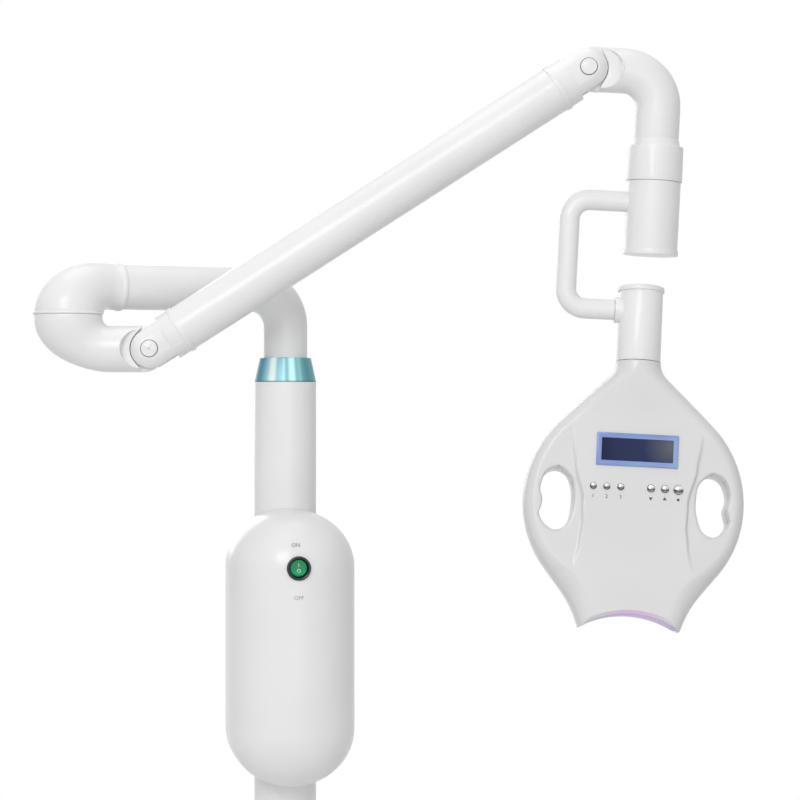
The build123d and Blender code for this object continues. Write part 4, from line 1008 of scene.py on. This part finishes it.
bmesh.ops.bevel(
    shape, geom=sharp, offset=frame_round, offset_type="OFFSET", segments=3, profile=0.5,
    affect="EDGES", material=-1,
)
display_place = head_place @ shift(0, -front_half + frame_seat, -display_depth) @ facing
bmesh.ops.transform(shape, matrix=display_place, verts=shape.verts)
piece("display_frame", shape, "head", blue, "blue_frame", "lcd_frame")
glass, base, shader = finish_of("display_glass", IOR=1.45, Specular_IOR_Level=0.14)
# painted reflection: the dark glass is coloured paler towards its right end
painted_reflection_end = head_place @ Vector((glass_width / 2, -front_half, -display_depth + reflection_rise))
along = own_place(base).measure("DISTANCE", painted_reflection_end) * (1 / glass_width)
lead(along.ramp(
    (0.0, (0.125, 0.13, 0.165)), (0.18, (0.07, 0.08, 0.12)), (0.42, (0.016, 0.026, 0.085)),
    (0.8, (0.013, 0.021, 0.078)), (1.0, (0.006, 0.012, 0.05)),
), shader, "Base Color")
lead(noise(base, 60.0, 2.0) * 0.08 + 0.16, shader, "Roughness")
dress("lcd_glass", glass)

# The keys: six chrome plated domes in two groups of three, the last one larger and ringed, with
# printed numbers, arrows and a dot below them.
key_proud = 0.0022
key_sink = 0.004
key_rim = 0.0003
key_foot = 0.0006
ring_line = ((0.0, 0.0010), (0.0004, 0.0014), (0.0009, 0.0011), (0.0011, key_foot))
shade_rate = 145
sign_depth = 0.1818
sign_height = 0.0034
sign_thickness = 0.0004
arrow_thickness = 0.0003
number_fall = front_crown * 0.15
arrow_fall = front_crown * 0.2
chrome, base, shader = finish_of("chrome_key", Metallic=1.0)
head_up = head_place.col[2].to_3d()
key_row = head_up.dot(head_place @ Vector((0, 0, -key_depth)))
# painted reflection and shade: the chrome's colour runs light, dark, mid and bright up each dome
painted_dome_light = (own_place(base).measure("DOT_PRODUCT", head_up) - key_row) * shade_rate + 0.5
lead(painted_dome_light.ramp(
    (0.0, (0.60, 0.60, 0.61)), (0.3, (0.10, 0.10, 0.105)), (0.5, (0.30, 0.30, 0.31)),
    (0.66, (0.85, 0.85, 0.86)),
), shader, "Base Color")
lead(noise(base, 400.0, 2.0) * 0.1 + 0.12, shader, "Roughness")
for i, (across, radius) in enumerate(zip(key_acrosses, key_radii), start=1):
    place = head_place @ shift(across, -front_half, -key_depth) @ facing
    dome = [(radius, -key_sink), (radius, key_rim)]
    if i == 6:
        dome += [(radius - inset, height) for inset, height in ring_line]
        radius = dome[-1][0]
    for angle in [math.radians(degrees) for degrees in range(10, 91, 10)]:
        dome.append((radius * math.cos(angle), key_foot + (key_proud - key_foot) * math.sin(angle)))
    piece("key_%d_dome" % i, turned(dome, place, 40), "key_%d" % i, chrome, "chrome", "button_%d" % i)
dark_print = mottled(
    "dark_print", (0.05, 0.05, 0.055), (0.12, 0.12, 0.125),
    scale=900.0, detail=3.0, roughness=0.45, spread=0.2, IOR=1.45,
)[0]
for i, across in enumerate(key_acrosses[:3], start=1):
    place = head_place @ shift(across, -front_half + number_fall, -sign_depth) @ facing
    number = lettering(str(i), sign_height, sign_thickness, place)
    piece("key_number_%d" % i, number, "head", dark_print, "black_plastic")
signs = (("down_arrow", 3, 0.0021, 180), ("up_arrow", 3, 0.0021, 0), ("start_dot", 32, 0.0013, 0))
for (name, corners, radius, spin), across in zip(signs, key_acrosses[3:]):
    shape = bmesh.new()
    bmesh.ops.create_circle(shape, cap_ends=True, segments=corners, radius=radius)
    bmesh.ops.recalc_face_normals(shape, faces=shape.faces)
    raised(shape, arrow_thickness)
    place = head_place @ shift(across, -front_half + arrow_fall, -sign_depth) @ facing @ turn(spin, "Z")
    bmesh.ops.transform(shape, matrix=place, verts=shape.verts)
    piece(name, shape, "head", dark_print, "black_plastic")
